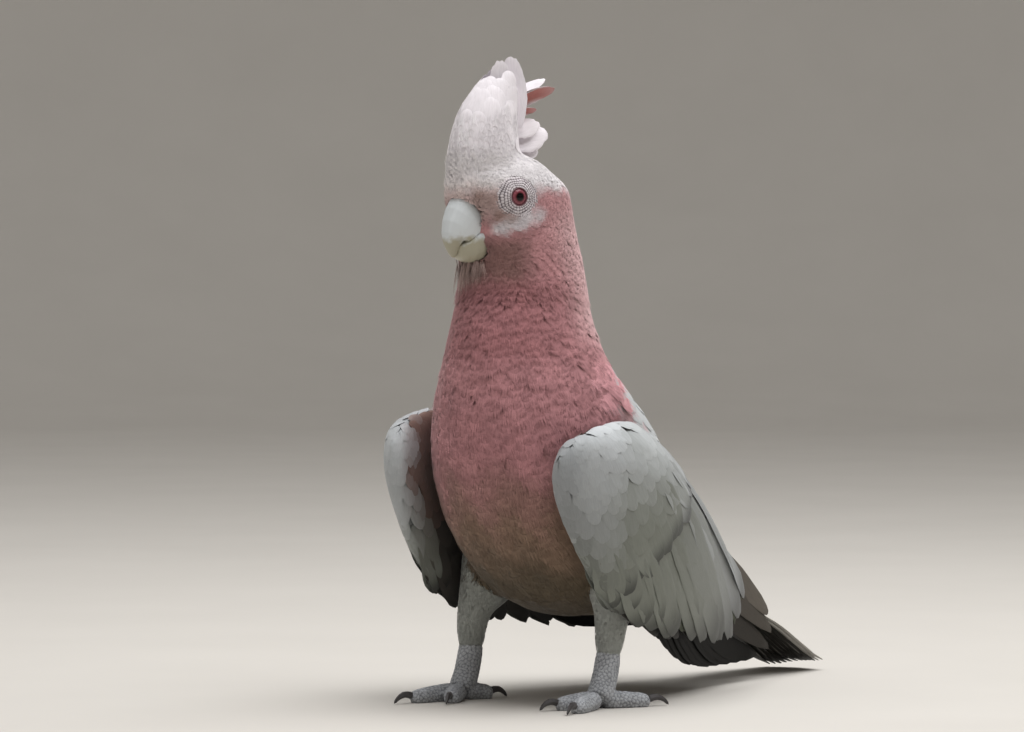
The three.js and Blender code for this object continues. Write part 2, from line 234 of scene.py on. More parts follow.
def body_marks(points):
    """The colour of the head, neck and trunk at each point, for the skin and its feathers alike."""
    mm = points / MM
    place, _, angle = along_body(points)
    head = in_head(points)
    side, ahead, up = np.abs(head[:, 0]), head[:, 1], head[:, 2]
    patch = mottle(mm, 9, 3)
    fine = mottle(mm, 4, 5)
    high = mm[:, 2]
    colour = blend(FACE_PINK, NECK_PINK, rising(192, 168, high))
    # Paler pink at the back of the neck: partly its own colour, partly painted light from above and behind.
    nape = rising(2.0, 1.2, angle) * rising(212, 195, high) * rising(142, 158, high)
    colour = blend(colour, NAPE_PINK_AND_LIGHT, nape)
    colour = blend(colour, BREAST_PINK, rising(150, 128, high))
    # Browner and darker towards the bottom: partly the belly's own brownish pink, partly painted shade.
    colour = blend(colour, BELLY_BROWN_AND_SHADE, rising(108, 70, high + 5 * patch))
    colour = blend(colour, VENT_BROWN_AND_SHADE, rising(72, 50, high + 3 * patch))
    # Painted shade under the bill, on the chin.
    under_bill_shade = rising(-13, -22, up) * rising(-6, 5, ahead) * rising(168, 180, high)
    colour = blend(colour, CHIN_SHADE, 0.75 * under_bill_shade)
    # A deeper rose below the head at the front of the neck: partly its own colour, partly painted shade.
    throat = rising(1.5, 2.6, angle) * rising(180, 172, high) * rising(136, 150, high)
    colour = blend(colour, THROAT_ROSE_AND_SHADE, 0.7 * throat)
    cap_line = 2.6 + 1.2 * fine
    cap = rising(cap_line - 3.4, cap_line + 3.2, up)
    under_eye = np.hypot((ahead - 3) / 10, (up + 10 + 0.3 * (ahead - 3)) / 4.2) + 0.25 * fine
    under_eye = 1 - rising(0.55, 1.35, under_eye)
    under_eye = under_eye * rising(8, 12, side)
    colour = blend(colour, CAP_WHITE, cap)
    colour = blend(colour, CREST_WHITE, 0.95 * under_eye)
    colour = blend(colour, CREST_WHITE, rising(14, 24, up))
    lores = rising(3, 9, ahead) * rising(13, 3, up + 0.25 * side) * rising(-12, -6, up)
    colour = blend(colour, FOREHEAD, 0.85 * lores * (0.75 + 0.25 * fine))
    before_eye = rising(7, 10, side) * rising(2, 7, ahead) * rising(5, 0, up) * rising(-13, -8, up)
    colour = blend(colour, LORES_BROWN, before_eye * (0.6 + 0.4 * fine))
    grey_line = 128 + 28 * (mm[:, 1] + 85) / 23
    mantle = rising(grey_line + 3, grey_line - 3, high) * rising(1.75, 1.35, angle + 0.12 * fine)
    colour = blend(colour, MANTLE_GREY, mantle * rising(4.9, 5.3, place))
    colour = blend(colour, RUMP_GREY, rising(10.6, 11.4, place))
    return colour * (1 + 0.07 * patch + 0.05 * fine)[:, None]


def wing_marks(points, inner=None):
    """The colour of the wings at each point: pale blue-grey above, a little greener towards the tips, with
    painted light at the top and painted shade low down.
    inner is how far each point belongs to the wing's inner face, if that is known."""
    mm = points / MM
    run = wing_run(mm[:, 1], mm[:, 2]) + 5 * mottle(mm, 14, 8)
    across = wing_across(mm[:, 1], mm[:, 2]) + 3 * mottle(mm, 9, 7)
    lower = 1 - 0.8 * rising(14, 46, across) * rising(45, 65, mm[:, 2])
    colour = blend(COVERT_GREY, FLIGHT_GREY, rising(12, 60, run) * lower)
    colour = blend(colour, FLIGHT_TIP, rising(80, 135, run) * lower)
    if inner is None:
        outward = np.abs(mm[:, 0]) - np.abs(wing_middle(mm[:, 1], mm[:, 2], np.sign(mm[:, 0])))
        inner = rising(-2, -5, outward)
    rim = np.interp(run, [8, 23, 40, 53, 65, 90], [9, -6, -8, -12, -15, -18])  # the pale edge wraps under
    inner = inner * rising(rim - 2, rim + 3, across)
    colour = blend(colour, blend(INNER_WING, PRIMARY_SLATE, rising(30, 62, run)), inner)
    # Painted light and shade: lighter at the top of the wing and darker low down, as the light falls from
    # above.
    shade = np.interp(mm[:, 2], [18, 32, 60, 82, 104, 118], [0.4, 0.74, 0.78, 0.76, 0.86, 1.15])
    return colour * (shade + 0.03 * mottle(mm, 11, 9))[:, None]


def thigh_marks(points):
    """The colour of the thighs at each point: grey, browner where they join the belly."""
    mm = points / MM
    colour = blend(THIGH_GREY, INNER_WING, 0.5 * rising(62, 80, mm[:, 2]))
    return colour * (1 + 0.05 * mottle(mm, 6, 12))[:, None]


# ------------------------------------------------------------------ the folded wings' sheet

WING_FRONT = (-126, 110)  # mm: y and z of the wrist, where the runs of feathers start


def wing_middle(y, z, side):
    """How far out, in mm, the middle of a folded wing stands at a height and a place along it."""
    back = y + 85
    height = z - np.where(side < 0, RIGHT_RAISE, 0) - (95 - 0.42 * back)
    reach = 52.5 / (1 + ((back - 16) / 114) ** 2)
    roof = 52 - 0.26 * np.maximum(0, back - 20)
    above = np.sqrt(np.maximum(0.04, 1 - (height / roof) ** 2))
    below = 1 - (height / 170) ** 2
    return side * reach * np.where(height > 0, above, below)


def wing_run(y, z):
    """How far a place lies from the wrist along the feathers' run, in mm."""
    return (y - WING_FRONT[0] - z + WING_FRONT[1]) * math.sqrt(0.5)


def wing_across(y, z):
    """How far a place lies across the feathers' run, in mm, rearward and up from the wrist."""
    return (y - WING_FRONT[0] + z - WING_FRONT[1]) * math.sqrt(0.5)


def wing_place(run, across):
    """The y and z, in mm, of a place given along the feathers' run and across it."""
    y = WING_FRONT[0] + (run + across) * math.sqrt(0.5)
    z = WING_FRONT[1] + (across - run) * math.sqrt(0.5)
    return y, z


class WingSheet:
    """One face of a folded wing as a smooth sheet, which runs on past the wing's own edges."""

    STEP = 2.0
    LOW = (-136.0, 4.0)
    SIZE = (112, 72)

    def __init__(self, side, face, nodes):
        self.side = side
        self.face = face
        tree = solid_tree(nodes)
        lines = [self.LOW[i] + self.STEP * np.arange(self.SIZE[i]) for i in (0, 1)]
        y, z = np.meshgrid(*lines, indexing="ij")
        mid = wing_middle(y, z, side)
        start = side * (110 if face > 0 else 0.5)
        away = Vector((-side * face, 0, 0))
        swell = np.zeros(self.SIZE)
        inside = np.zeros(self.SIZE)
        for spot in np.ndindex(self.SIZE):
            hit = tree.ray_cast(Vector((start * MM, y[spot] * MM, z[spot] * MM)), away, 0.12)[0]
            if hit is not None:
                swell[spot] = abs(hit.x / MM - mid[spot])
                inside[spot] = 1
        for _ in range(3):
            ring = np.pad(swell, 1, mode="edge")
            middle_part = ring[1:-1, 1:-1] * 2
            swell = middle_part + ring[:-2, 1:-1] + ring[2:, 1:-1] + ring[1:-1, :-2] + ring[1:-1, 2:]
            swell = swell / 6
        self.swell = swell
        self.inside = inside

    def read(self, table, y, z):
        """A table's value between its grid points."""
        i = np.clip((y - self.LOW[0]) / self.STEP, 0, self.SIZE[0] - 1.001)
        j = np.clip((z - self.LOW[1]) / self.STEP, 0, self.SIZE[1] - 1.001)
        a, b = i.astype(int), j.astype(int)
        u, v = i - a, j - b
        low = table[a, b] * (1 - u) + table[a + 1, b] * u
        high = table[a, b + 1] * (1 - u) + table[a + 1, b + 1] * u
        return low * (1 - v) + high * v

    def out(self, y, z):
        """How far out the sheet stands, in mm."""
        return wing_middle(y, z, self.side) + self.side * self.face * self.read(self.swell, y, z)

    def spot(self, y, z):
        """Points on the sheet in metres, and the normals there."""
        near = 1.5
        out = self.out(y, z)
        slope_y = (self.out(y + near, z) - self.out(y - near, z)) / (2 * near)
        slope_z = (self.out(y, z + near) - self.out(y, z - near)) / (2 * near)
        normal = np.stack([np.ones_like(out), -slope_y, -slope_z], axis=-1) * self.side * self.face
        return np.stack([out, y, z], axis=-1) * MM, unit(normal)

    def length_to_edge(self, y, z, fall, longest):
        """How far each feather runs, in mm, before it leaves the wing's outline."""
        reach = np.full(len(y), 6.0)
        for run in np.arange(6, longest, 1.0):
            inside = self.read(self.inside, y + run * np.cos(fall), z - run * np.sin(fall)) > 0.5
            reach = np.where(inside & (reach > run - 12), run, reach)
        return reach

    def paths(self, y, z, fall, length, steps=8):
        """Feathers' lines over the sheet from their roots, fall being the angle below level."""
        share = np.linspace(0, 1, steps + 1)[None, :] * length[:, None]
        line_y = y[:, None] + share * np.cos(fall)[:, None]
        line_z = z[:, None] - share * np.sin(fall)[:, None]
        return self.spot(line_y, line_z)


# ------------------------------------------------------------------ solids to and from arrays


def arrays(mesh):
    """A mesh's points, triangles and point normals."""
    mesh.calc_loop_triangles()
    points = np.zeros(len(mesh.vertices) * 3)
    mesh.vertices.foreach_get("co", points)
    normals = np.zeros(len(mesh.vertices) * 3)
    mesh.vertices.foreach_get("normal", normals)
    triangles = np.zeros(len(mesh.loop_triangles) * 3, int)
    mesh.loop_triangles.foreach_get("vertices", triangles)
    return points.reshape(-1, 3), triangles.reshape(-1, 3), normals.reshape(-1, 3)


def solid_tree(names):
    """One search tree over the triangles of several CAD nodes."""
    points, triangles, count = [], [], 0
    for name in names:
        p, t, _ = arrays(NODES[name].data)
        points.append(p)
        triangles.append(t + count)
        count += len(p)
    return BVHTree.FromPolygons(np.vstack(points).tolist(), np.vstack(triangles).tolist())


def mesh_of(bm, name):
    """The mesh modelled in bm, which is then let go."""
    mesh = bpy.data.meshes.new(name)
    bm.to_mesh(mesh)
    bm.free()
    return mesh


def spin_round(bm, profile, steps, merge):
    """Turns a profile all round the upright axis, and joins points nearer than merge."""
    up, turn = (0, 0, 1), 2 * math.pi
    bmesh.ops.spin(bm, geom=profile, axis=up, cent=(0, 0, 0), angle=turn, steps=steps, use_merge=True)
    bmesh.ops.remove_doubles(bm, verts=bm.verts, dist=merge)
    bmesh.ops.recalc_face_normals(bm, faces=bm.faces)


def new_piece(name, mesh, material):
    """A piece in the scene, at the origin."""
    piece = bpy.data.objects.new(name, mesh)
    bpy.context.scene.collection.objects.link(piece)
    if material is not None:
        mesh.materials.append(material)
    return piece


def welded(names, grow, thigh_floor=None):
    """Copies of CAD nodes, each merged and swollen by grow so that neighbours meet. The thighs are cut
    off at thigh_floor, if it is given."""
    bm = bmesh.new()
    for name in names:
        part = bmesh.new()
        part.from_mesh(NODES[name].data)
        bmesh.ops.remove_doubles(part, verts=part.verts, dist=1e-6)
        if thigh_floor is not None and name.startswith("thigh"):
            everything = part.verts[:] + part.edges[:] + part.faces[:]
            floor, up = (0, 0, thigh_floor), (0, 0, 1)
            bmesh.ops.bisect_plane(part, geom=everything, plane_co=floor, plane_no=up, clear_inner=True)
            bmesh.ops.holes_fill(part, edges=part.edges, sides=0)
        part.normal_update()
        for vert in part.verts:
            vert.co += vert.normal * grow
        mesh = mesh_of(part, "part")
        bm.from_mesh(mesh)
        bpy.data.meshes.remove(mesh)
    return mesh_of(bm, "joined")


def remeshed(name, mesh, grain):
    """One closed mesh round everything in mesh, with faces about grain across."""
    piece = new_piece(name, mesh, None)
    change = piece.modifiers.new("close", "REMESH")
    change.mode = "VOXEL"
    change.voxel_size = grain
    seen = piece.evaluated_get(bpy.context.evaluated_depsgraph_get())
    result = bpy.data.meshes.new_from_object(seen)
    bpy.data.objects.remove(piece)
    bpy.data.meshes.remove(mesh)
    return result


def relaxed(mesh, rounds, shrink=None):
    """Smooths a mesh, and pulls it in by shrink, a depth in metres at each point."""
    count = len(mesh.vertices)
    edges = np.zeros(len(mesh.edges) * 2, int)
    mesh.edges.foreach_get("vertices", edges)
    a, b = edges.reshape(-1, 2).T
    degree = np.bincount(a, minlength=count) + np.bincount(b, minlength=count)

    def soften(points, times):
        for _ in range(times):
            total = np.zeros_like(points)
            for axis in range(3):
                ahead = np.bincount(a, points[b, axis], count)
                total[:, axis] = ahead + np.bincount(b, points[a, axis], count)
            points = 0.4 * points + 0.6 * total / degree[:, None]
        return points

    points, _, _ = arrays(mesh)
    points = soften(points, rounds)
    mesh.vertices.foreach_set("co", points.ravel())
    mesh.update()
    if shrink is not None:
        points, _, normals = arrays(mesh)
        depth = shrink(points) if callable(shrink) else shrink
        points = soften(points - normals * np.reshape(depth, (-1, 1)), 2)
        mesh.vertices.foreach_set("co", points.ravel())
        mesh.update()
    return mesh


class Hide:
    """A closed surface that feathers root in and lie along."""

    def __init__(self, mesh):
        self.points, self.triangles, self.normals = arrays(mesh)
        self.tree = BVHTree.FromPolygons(self.points.tolist(), self.triangles.tolist())
        self.faces = self.normals[self.triangles].mean(axis=1)

    def drop(self, points):
        """The nearest spots on the surface, and the normals there."""
        spots = np.empty_like(points)
        faces = np.empty(len(points), int)
        for index, point in enumerate(points.tolist()):
            spot, _, face, _ = self.tree.find_nearest(point)
            spots[index] = spot
            faces[index] = face
        return spots, unit(self.faces[faces])

    def scatter(self, gap, keep, seed):
        """Roots about gap apart over the surface, in no order. gap and keep are functions of points."""
        rng = np.random.default_rng(seed)
        corners = self.points[self.triangles]
        centre = corners.mean(axis=1)
        cross = np.cross(corners[:, 1] - corners[:, 0], corners[:, 2] - corners[:, 0])
        area = np.linalg.norm(cross, axis=1) / 2
        wanted = area / gap(centre) ** 2 * 3.4 * keep(centre)
        tries = rng.poisson(wanted)
        owner = rng.permutation(np.repeat(np.arange(len(centre)), tries))
        share = rng.uniform(size=(len(owner), 2))
        folded = share.sum(axis=1) > 1
        share[folded] = 1 - share[folded]
        c = corners[owner]
        points = c[:, 0] + share[:, :1] * (c[:, 1] - c[:, 0]) + share[:, 1:] * (c[:, 2] - c[:, 0])
        chosen = spaced(points, gap(points))
        return points[chosen], unit(self.faces[owner[chosen]])

    def paths(self, roots, ways, length, steps=5):
        """Feathers' lines over the surface from their roots, starting along ways."""
        spots, normals = [], []
        place, way = roots, ways
        for _ in range(steps + 1):
            spot, normal = self.drop(place)
            way = flat_to(normal, way)
            spots.append(spot)
            normals.append(normal)
            place = spot + way * (length / steps)[:, None]
        return np.stack(spots, axis=1), np.stack(normals, axis=1)


# ------------------------------------------------------------------ feathers


class Vane:
    """One feather shape: points as (across -0.5..0.5, along 0..1, thickness in mm) and triangles."""

    def __init__(self, bm):
        bmesh.ops.triangulate(bm, faces=bm.faces)
        bmesh.ops.recalc_face_normals(bm, faces=bm.faces)
        bm.normal_update()
        bm.verts.index_update()
        self.points = np.array([vert.co for vert in bm.verts])
        self.below = np.array([vert.normal.z < -0.2 for vert in bm.verts])
        self.triangles = np.array([[v.index for v in face.verts] for face in bm.faces])
        bm.free()


def add_barb(bm, start, end, thick):
    """A fine cone from start to end, on a feather of width and length 1."""
    shape = {"cap_ends": True, "cap_tris": True, "segments": 3, "radius1": 1, "radius2": 0, "depth": 1}
    for vert in bmesh.ops.create_cone(bm, **shape)["verts"]:
        share = vert.co.z + 0.5
        spot = [start[i] + (end[i] - start[i]) * share for i in range(3)]
        vert.co = (spot[0] + vert.co.x * thick, spot[1], spot[2] + 0.05 * vert.co.y)


def contour_feather(rng, columns, rows, barbs, ragged):
    """A soft body feather: a thin rounded blade that frays into long fine barbs."""
    bm = bmesh.new()
    bmesh.ops.create_grid(bm, x_segments=columns, y_segments=rows, size=0.5)
    for vert in bm.verts:
        across, along = vert.co.x, vert.co.y + 0.5
        edge = abs(2 * across)
        swell = 0.4 + 0.6 * min(1, along / 0.5) ** 0.8
        taper = 1 - 0.35 * max(0, (along - 0.6) / 0.4) ** 2
        sunk = -0.06 * edge**2 - 0.5 * along**2.5
        vert.co = (across * swell * taper, 0.7 * along * (1 - 0.24 * edge**2), sunk)
    bmesh.ops.solidify(bm, geom=bm.faces[:], thickness=0.08)
    for barb in range(barbs):
        lane = (barb + 0.5) / barbs - 0.5 + rng.uniform(-0.4, 0.4) / barbs
        bend = 1 - 0.26 * (2 * lane) ** 2
        tip = (lane * 1.02 + rng.normal(0, 0.035), bend * (1 - ragged * rng.uniform(0, 1)))
        lift = rng.uniform(-0.03, 0.09)
        add_barb(bm, (lane * 0.84, 0.48 * bend, lift), (*tip, lift), 0.62 / barbs)
    bmesh.ops.remove_doubles(bm, verts=bm.verts, dist=1e-5)
    return Vane(bm)


def hair_tuft(rng, hairs, ragged):
    """A loose feather without a blade: fine hairs that spread a little from one root."""
    bm = bmesh.new()
    for hair in range(hairs):
        lane = (hair + 0.5) / hairs - 0.5
        root = rng.uniform(0, 0.15)
        tip = (lane + rng.normal(0, 0.1), 1 - ragged * rng.uniform(0, 1))
        add_barb(bm, (lane * 0.3, root, 0), (*tip, rng.uniform(0, 0.35)), 0.3 / hairs)
    return Vane(bm)


def firm_feather(rng, columns, rows, tip_width, nicks):
    """A smooth feather: a thin rounded blade with a raised shaft and a nick or two in its edge."""
    bm = bmesh.new()
    bmesh.ops.create_grid(bm, x_segments=columns, y_segments=rows, size=0.5)
    for vert in bm.verts:
        across, along = vert.co.x, vert.co.y + 0.5
        edge = abs(2 * across)
        swell = 0.30 + 0.70 * min(1, along / 0.45) ** 0.7
        taper = 1 - (1 - tip_width) * max(0, (along - 0.7) / 0.3) ** 2
        ragged = rng.uniform(0, 1) ** 5 * nicks if edge > 0.99 or along > 0.99 else 0
        vert.co = (
            across * swell * taper * (1 - 0.3 * ragged),
            along * (1 - 0.2 * edge**2.6) * (1 - 0.2 * ragged * (along > 0.99)),
            0.08 * (1 - along) * (edge < 0.1) - 0.08 * edge**2,
        )
    bmesh.ops.solidify(bm, geom=bm.faces[:], thickness=0.09)
    return Vane(bm)


def between(field, knots, steps):
    """A field's values between its steps along each line, at knots from 0 to steps."""
    knots = np.clip(knots, 0, steps)
    low = np.minimum(knots.astype(int), steps - 1)
    part = (knots - low)[:, None]
    return field[:, low] * (1 - part) + field[:, low + 1] * part


class Coat:
    """Feathers gathered into one mesh. Each is a small patch of the piece's OFBake map at its root."""

    PATCH = 0.003

    def __init__(self, name, material, slot, plush=0.5, fringe=0.1):
        """plush is how far shading follows the coat as a whole and not each feather's own faces, and
        fringe is how much paler, or darker if negative, each feather is at its tip."""
        self.name, self.material, self.slot, self.plush, self.fringe = name, material, slot, plush, fringe
        self.parts = []

    def add(
        self, vanes, spots, normals, width, height, tint, place, seed,
        camber=0.0, roll=0.0, dark_root=0.92, hide=None, under=None, border=0.2,
    ):
        """Bends copies of vanes along lines. height is each line's rise over the surface, in mm. With a
        hide, each point follows that surface. under is the undersides' colour, inside a border."""
        rng = np.random.default_rng(seed)
        lines = len(spots)
        pick = rng.integers(len(vanes), size=lines)
        steps = spots.shape[1] - 1
        along = unit(np.gradient(spots, axis=1))
        side = unit(np.cross(along, normals))
        above = unit(np.cross(side, along))
        turn = (roll + rng.normal(0, 0.04, lines))[:, None, None]
        side, above = side * np.cos(turn) + above * np.sin(turn), above * np.cos(turn) - side * np.sin(turn)
        length = np.linalg.norm(np.diff(spots, axis=1), axis=2).sum(axis=1)
        fields = (spots, side, above, height[..., None])
        for index, vane in enumerate(vanes):
            who = np.flatnonzero(pick == index)
            if not len(who):
                continue
            across, run, thick = vane.points.T
            line, aside, over, rise = (between(field[who], run * steps, steps) for field in fields)
            wide = width[who, None]
            droop = (camber * wide * (2 * across) ** 2) * (0.3 + 0.7 * run)
            lifted = (rise[..., 0] * MM + thick * MM - droop)[..., None]
            base = line + aside * (across * wide)[..., None]
            if hide is not None:
                base, over = (field.reshape(base.shape) for field in hide.drop(base.reshape(-1, 3)))
            paint = self.painted(vane, tint[who], dark_root, under, border)
            bake = place[who][:, None, :] + self.PATCH * np.stack([across, run - 0.5], axis=1)
            start = rng.uniform(0, 90, len(who))[:, None]
            grain = np.stack([(across * wide) / MM + start, run * length[who, None] / MM], axis=2)
            self.parts.append((base + over * lifted, vane.triangles, paint, bake, grain, over))

    def painted(self, vane, tint, dark_root, under, border):
        """The colours of copies of a vane: its tint, darker at the root and altered towards the tip."""
        across, run, _ = vane.points.T
        shade = dark_root + (1 - dark_root) * rising(0.05, 0.6, run)[:, None]
        shade = shade * (1 + self.fringe * rising(0.7, 1, run))[:, None]
        paint = np.clip(tint[:, None, :] * shade, 0, 1)
        if under is not None:
            inner = rising(0.5, 0.5 - border, np.abs(across[vane.below])) if border else 1
            inner = (inner * np.clip(1.3 - 0.5 * run[vane.below], 0, 1))[:, None]
            paint[:, vane.below] = paint[:, vane.below] * (1 - inner) + under * inner
        return paint

    def finish(self):
        """The mesh of all the feathers, as a piece on the bird."""
        points, triangles, paint, bake, grain, lie, base = [], [], [], [], [], [], 0
        for p, t, c, b, g, n in self.parts:
            copies, size = p.shape[:2]
            points.append(p.reshape(-1, 3))
            triangles.append((t[None] + (base + size * np.arange(copies))[:, None, None]).reshape(-1, 3))
            paint.append(c.reshape(-1, 3))
            bake.append(b.reshape(-1, 2))
            grain.append(g.reshape(-1, 2))
            lie.append(n.reshape(-1, 3))
            base += copies * size
        points, triangles = np.vstack(points), np.vstack(triangles)
        mesh = bpy.data.meshes.new(self.name)
        mesh.vertices.add(len(points))
        mesh.vertices.foreach_set("co", points.ravel())
        mesh.loops.add(triangles.size)
        mesh.loops.foreach_set("vertex_index", triangles.ravel().astype(np.int32))
        mesh.polygons.add(len(triangles))
        mesh.polygons.foreach_set("loop_start", np.arange(0, triangles.size, 3, dtype=np.int32))
        mesh.update(calc_edges=True)
        for name, values in (("OFBake", np.vstack(bake)), ("Grain", np.vstack(grain))):
            layer = mesh.uv_layers.new(name=name)
            layer.data.foreach_set("uv", values[triangles.ravel()].ravel())
        set_tint(mesh, np.vstack(paint))
        mesh.shade_smooth()
        own, lie = arrays(mesh)[2], np.vstack(lie)
        if self.material is not DOWN:
            lie = np.where(dot(own, lie) < -0.2, -lie, lie)
        mesh.normals_split_custom_set_from_vertices(unit(own * (1 - self.plush) + lie * self.plush).tolist())
        piece = new_piece(self.name, mesh, self.material)
        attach(piece, "root")
        return piece


def set_tint(mesh, colours):
    """Keeps a colour at each point, which the materials read."""
    layer = mesh.color_attributes.new("Tint", "FLOAT_COLOR", "POINT")
    full = np.ones((len(colours), 4), np.float32)
    full[:, :3] = np.clip(colours, 0, 1)
    layer.data.foreach_set("color", full.ravel())


def round_body(points):
    """An unwrap of the body: round the middle line, and along it."""
    place, _, angle = along_body(points)
    turn = angle * np.sign(points[:, 0]) / (2 * math.pi) + 0.5
    return np.stack([0.02 + 0.96 * turn, 0.02 + 0.96 * place / (len(SPINE) - 1)], axis=1)


def over_wing(points, face):
    """An unwrap of a wing: its outer face on the left half of the map, its inner face on the right."""
    across = (points[:, 1] + 0.136) / 0.23
    up = points[:, 2] / 0.15
    return np.stack([0.02 + 0.46 * across + (0.5 if face < 0 else 0), 0.02 + 0.96 * up], axis=1)


# ------------------------------------------------------------------ materials


def node(tree, kind, settings=None, **links):
    """Adds a node, sets its properties and unlinked sockets and links others. iN is socket N."""
    made = tree.nodes.new(kind)

    def socket(key):
        return made.inputs[int(key[1:])] if key[0] == "i" and key[1:].isdigit() else made.inputs[key]

    for key, value in (settings or {}).items():
        if key in made.inputs or key[1:].isdigit():
            socket(key).default_value = value
        else:
            setattr(made, key, value)
    for key, source in links.items():
        tree.links.new(source, socket(key.replace("_", " ")))
    return made


def new_material(name, surface):
    """A material with a Principled surface, whose constants are given, and its node tree."""
    material = bpy.data.materials.new(name)
    material.use_nodes = True
    tree = material.node_tree
    shader = tree.nodes["Principled BSDF"]
    for key, value in surface.items():
        shader.inputs[key].default_value = value
    return material, tree, shader


def noise(tree, place, scale, detail, **settings):
    """A noise texture over place, as a grey value."""
    settings = {"Scale": scale, "Detail": detail, **settings}
    return node(tree, "ShaderNodeTexNoise", settings, Vector=place).outputs["Fac"]


def mapped(tree, value, start, end, at_start, at_end):
    """A value's run from start to end, turned into a run from at_start to at_end."""
    settings = {"From Min": start, "From Max": end, "To Min": at_start, "To Max": at_end}
    return node(tree, "ShaderNodeMapRange", settings, Value=value).outputs["Result"]


def mixed(tree, share, first, second):
    """A colour between two hex colours."""
    settings = {"data_type": "RGBA", "i6": (*linear(first), 1), "i7": (*linear(second), 1)}
    return node(tree, "ShaderNodeMix", settings, Factor=share).outputs[2]


def tinted(tree, shader, share):
    """Gives a surface the colour kept in the mesh, made lighter or darker by share."""
    tint = node(tree, "ShaderNodeAttribute", {"attribute_name": "Tint"}).outputs["Color"]
    paint = node(tree, "ShaderNodeVectorMath", {"operation": "SCALE"}, Vector=tint, Scale=share)
    tree.links.new(paint.outputs["Vector"], shader.inputs["Base Color"])


def bumped(tree, shader, height, strength, depth_mm, invert=False):
    """Gives a surface a relief of depth_mm."""
    settings = {"Strength": strength, "Distance": depth_mm * MM, "invert": invert}
    bump = node(tree, "ShaderNodeBump", settings, Height=height)
    tree.links.new(bump.outputs["Normal"], shader.inputs["Normal"])


def feather_material(name, barb_mm, streak, relief, surface):
    """Feather keratin: barbs side by side in flat vanes, dull, with a soft sheen at grazing angles."""
    material, tree, shader = new_material(name, surface)
    grain = node(tree, "ShaderNodeUVMap", {"uv_map": "Grain"}).outputs["UV"]
    # Barbs leave the shaft at a slant, so the streaks are long one way and barb_mm wide the other.
    lay = node(tree, "ShaderNodeMapping", {"Scale": (1 / barb_mm, 0.12 / barb_mm, 1)}, Vector=grain)
    barbs = noise(tree, lay.outputs["Vector"], 1.0, 3.0, Roughness=0.6)
    tinted(tree, shader, mapped(tree, barbs, 0.3, 0.7, 1 - streak, 1 + streak))
    bumped(tree, shader, barbs, relief, 0.15)
    return material


# Down and loose contour feathers: matt, with the light scattered by free barbs.
DOWN = feather_material(
    "loose contour feathers",
    0.35,
    0.14,
    0.4,
    {"Roughness": 0.85, "Specular IOR Level": 0.25, "Sheen Weight": 0.25, "Sheen Roughness": 0.5},
)
# Firm vanes with zipped barbs: smoother, with a faint satin gloss.
FIRM = feather_material(
    "firm vaned feathers",
    0.7,
    0.07,
    0.35,
    {"Roughness": 0.62, "Specular IOR Level": 0.35, "Sheen Weight": 0.15, "Sheen Roughness": 0.5},
)
# Dark flight feathers: stiff, smooth and without free barbs.
DARK = feather_material(
    "dark flight feathers",
    0.7,
    0.07,
    0.3,
    {"Roughness": 0.6, "Specular IOR Level": 0.12},
)


def skin_material(name, grain_mm, surface):
    """Skin: the colour kept in the mesh, with a pebbled relief of grain_mm."""
    material, tree, shader = new_material(name, surface)
    place = node(tree, "ShaderNodeTexCoord").outputs["Object"]
    pebbles = node(tree, "ShaderNodeTexVoronoi", {"Scale": 1 / (grain_mm * MM)}, Vector=place)
    pebbles = pebbles.outputs["Distance"]
    tinted(tree, shader, mapped(tree, pebbles, 0.1, 0.7, 1.08, 0.85))
    bumped(tree, shader, pebbles, 0.5, 0.2, True)
    return material


# Thin skin under the coat, hardly seen.
SKIN = skin_material("thin skin", 1.6, {"Roughness": 0.75, "Specular IOR Level": 0.25})
# Bare skin of the eye ring: soft, chalky, beaded.
BARE_SKIN = skin_material("bare chalky skin", 0.7, {"Roughness": 0.7, "Specular IOR Level": 0.3})
# Horny scales of the feet: dry and mealy with powder.
SCALES = skin_material("mealy scaled skin", 0.5, {"Roughness": 0.72, "Specular IOR Level": 0.35})


def horn_material(name, pale, dull, tip_from, tip_to, surface):
    """Horn that grows down in thin layers: pale higher up and duller lower down, towards the tip."""
    material, tree, shader = new_material(name, surface)
    place = node(tree, "ShaderNodeTexCoord").outputs["Object"]
    up = node(tree, "ShaderNodeSeparateXYZ", Vector=place).outputs["Z"]
    cloud = noise(tree, place, 260.0, 4.0)
    drift = node(tree, "ShaderNodeMath", {"operation": "MULTIPLY_ADD", "i1": 0.010}, i0=cloud, i2=up)
    share = mapped(tree, drift.outputs["Value"], tip_from, tip_to, 0.0, 1.0)
    tree.links.new(mixed(tree, share, pale, dull), shader.inputs["Base Color"])
    layers = node(tree, "ShaderNodeMapping", {"Scale": (300.0, 300.0, 1500.0)}, Vector=place)
    bumped(tree, shader, noise(tree, layers.outputs["Vector"], 1.0, 3.0), 0.35, 0.12)
    return material


BILL_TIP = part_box("bill_upper")[0].z
# Bill horn: bluish white at the root and greenish grey lower down, towards the tip.
BILL_HORN = horn_material(
    "bill horn",
    "#D0D5D8",
    "#A5A08C",
    BILL_TIP + 0.0152,
    BILL_TIP + 0.0122,
    {"Roughness": 0.38, "Specular IOR Level": 0.5, "Coat Weight": 0.1, "Coat Roughness": 0.3},
)
# Claw horn: nearly black, paler where it leaves the toe.
CLAW_HORN = horn_material("claw horn", "#4A4748", "#2C2A2B", 0.012, 0.002, {"Roughness": 0.4})


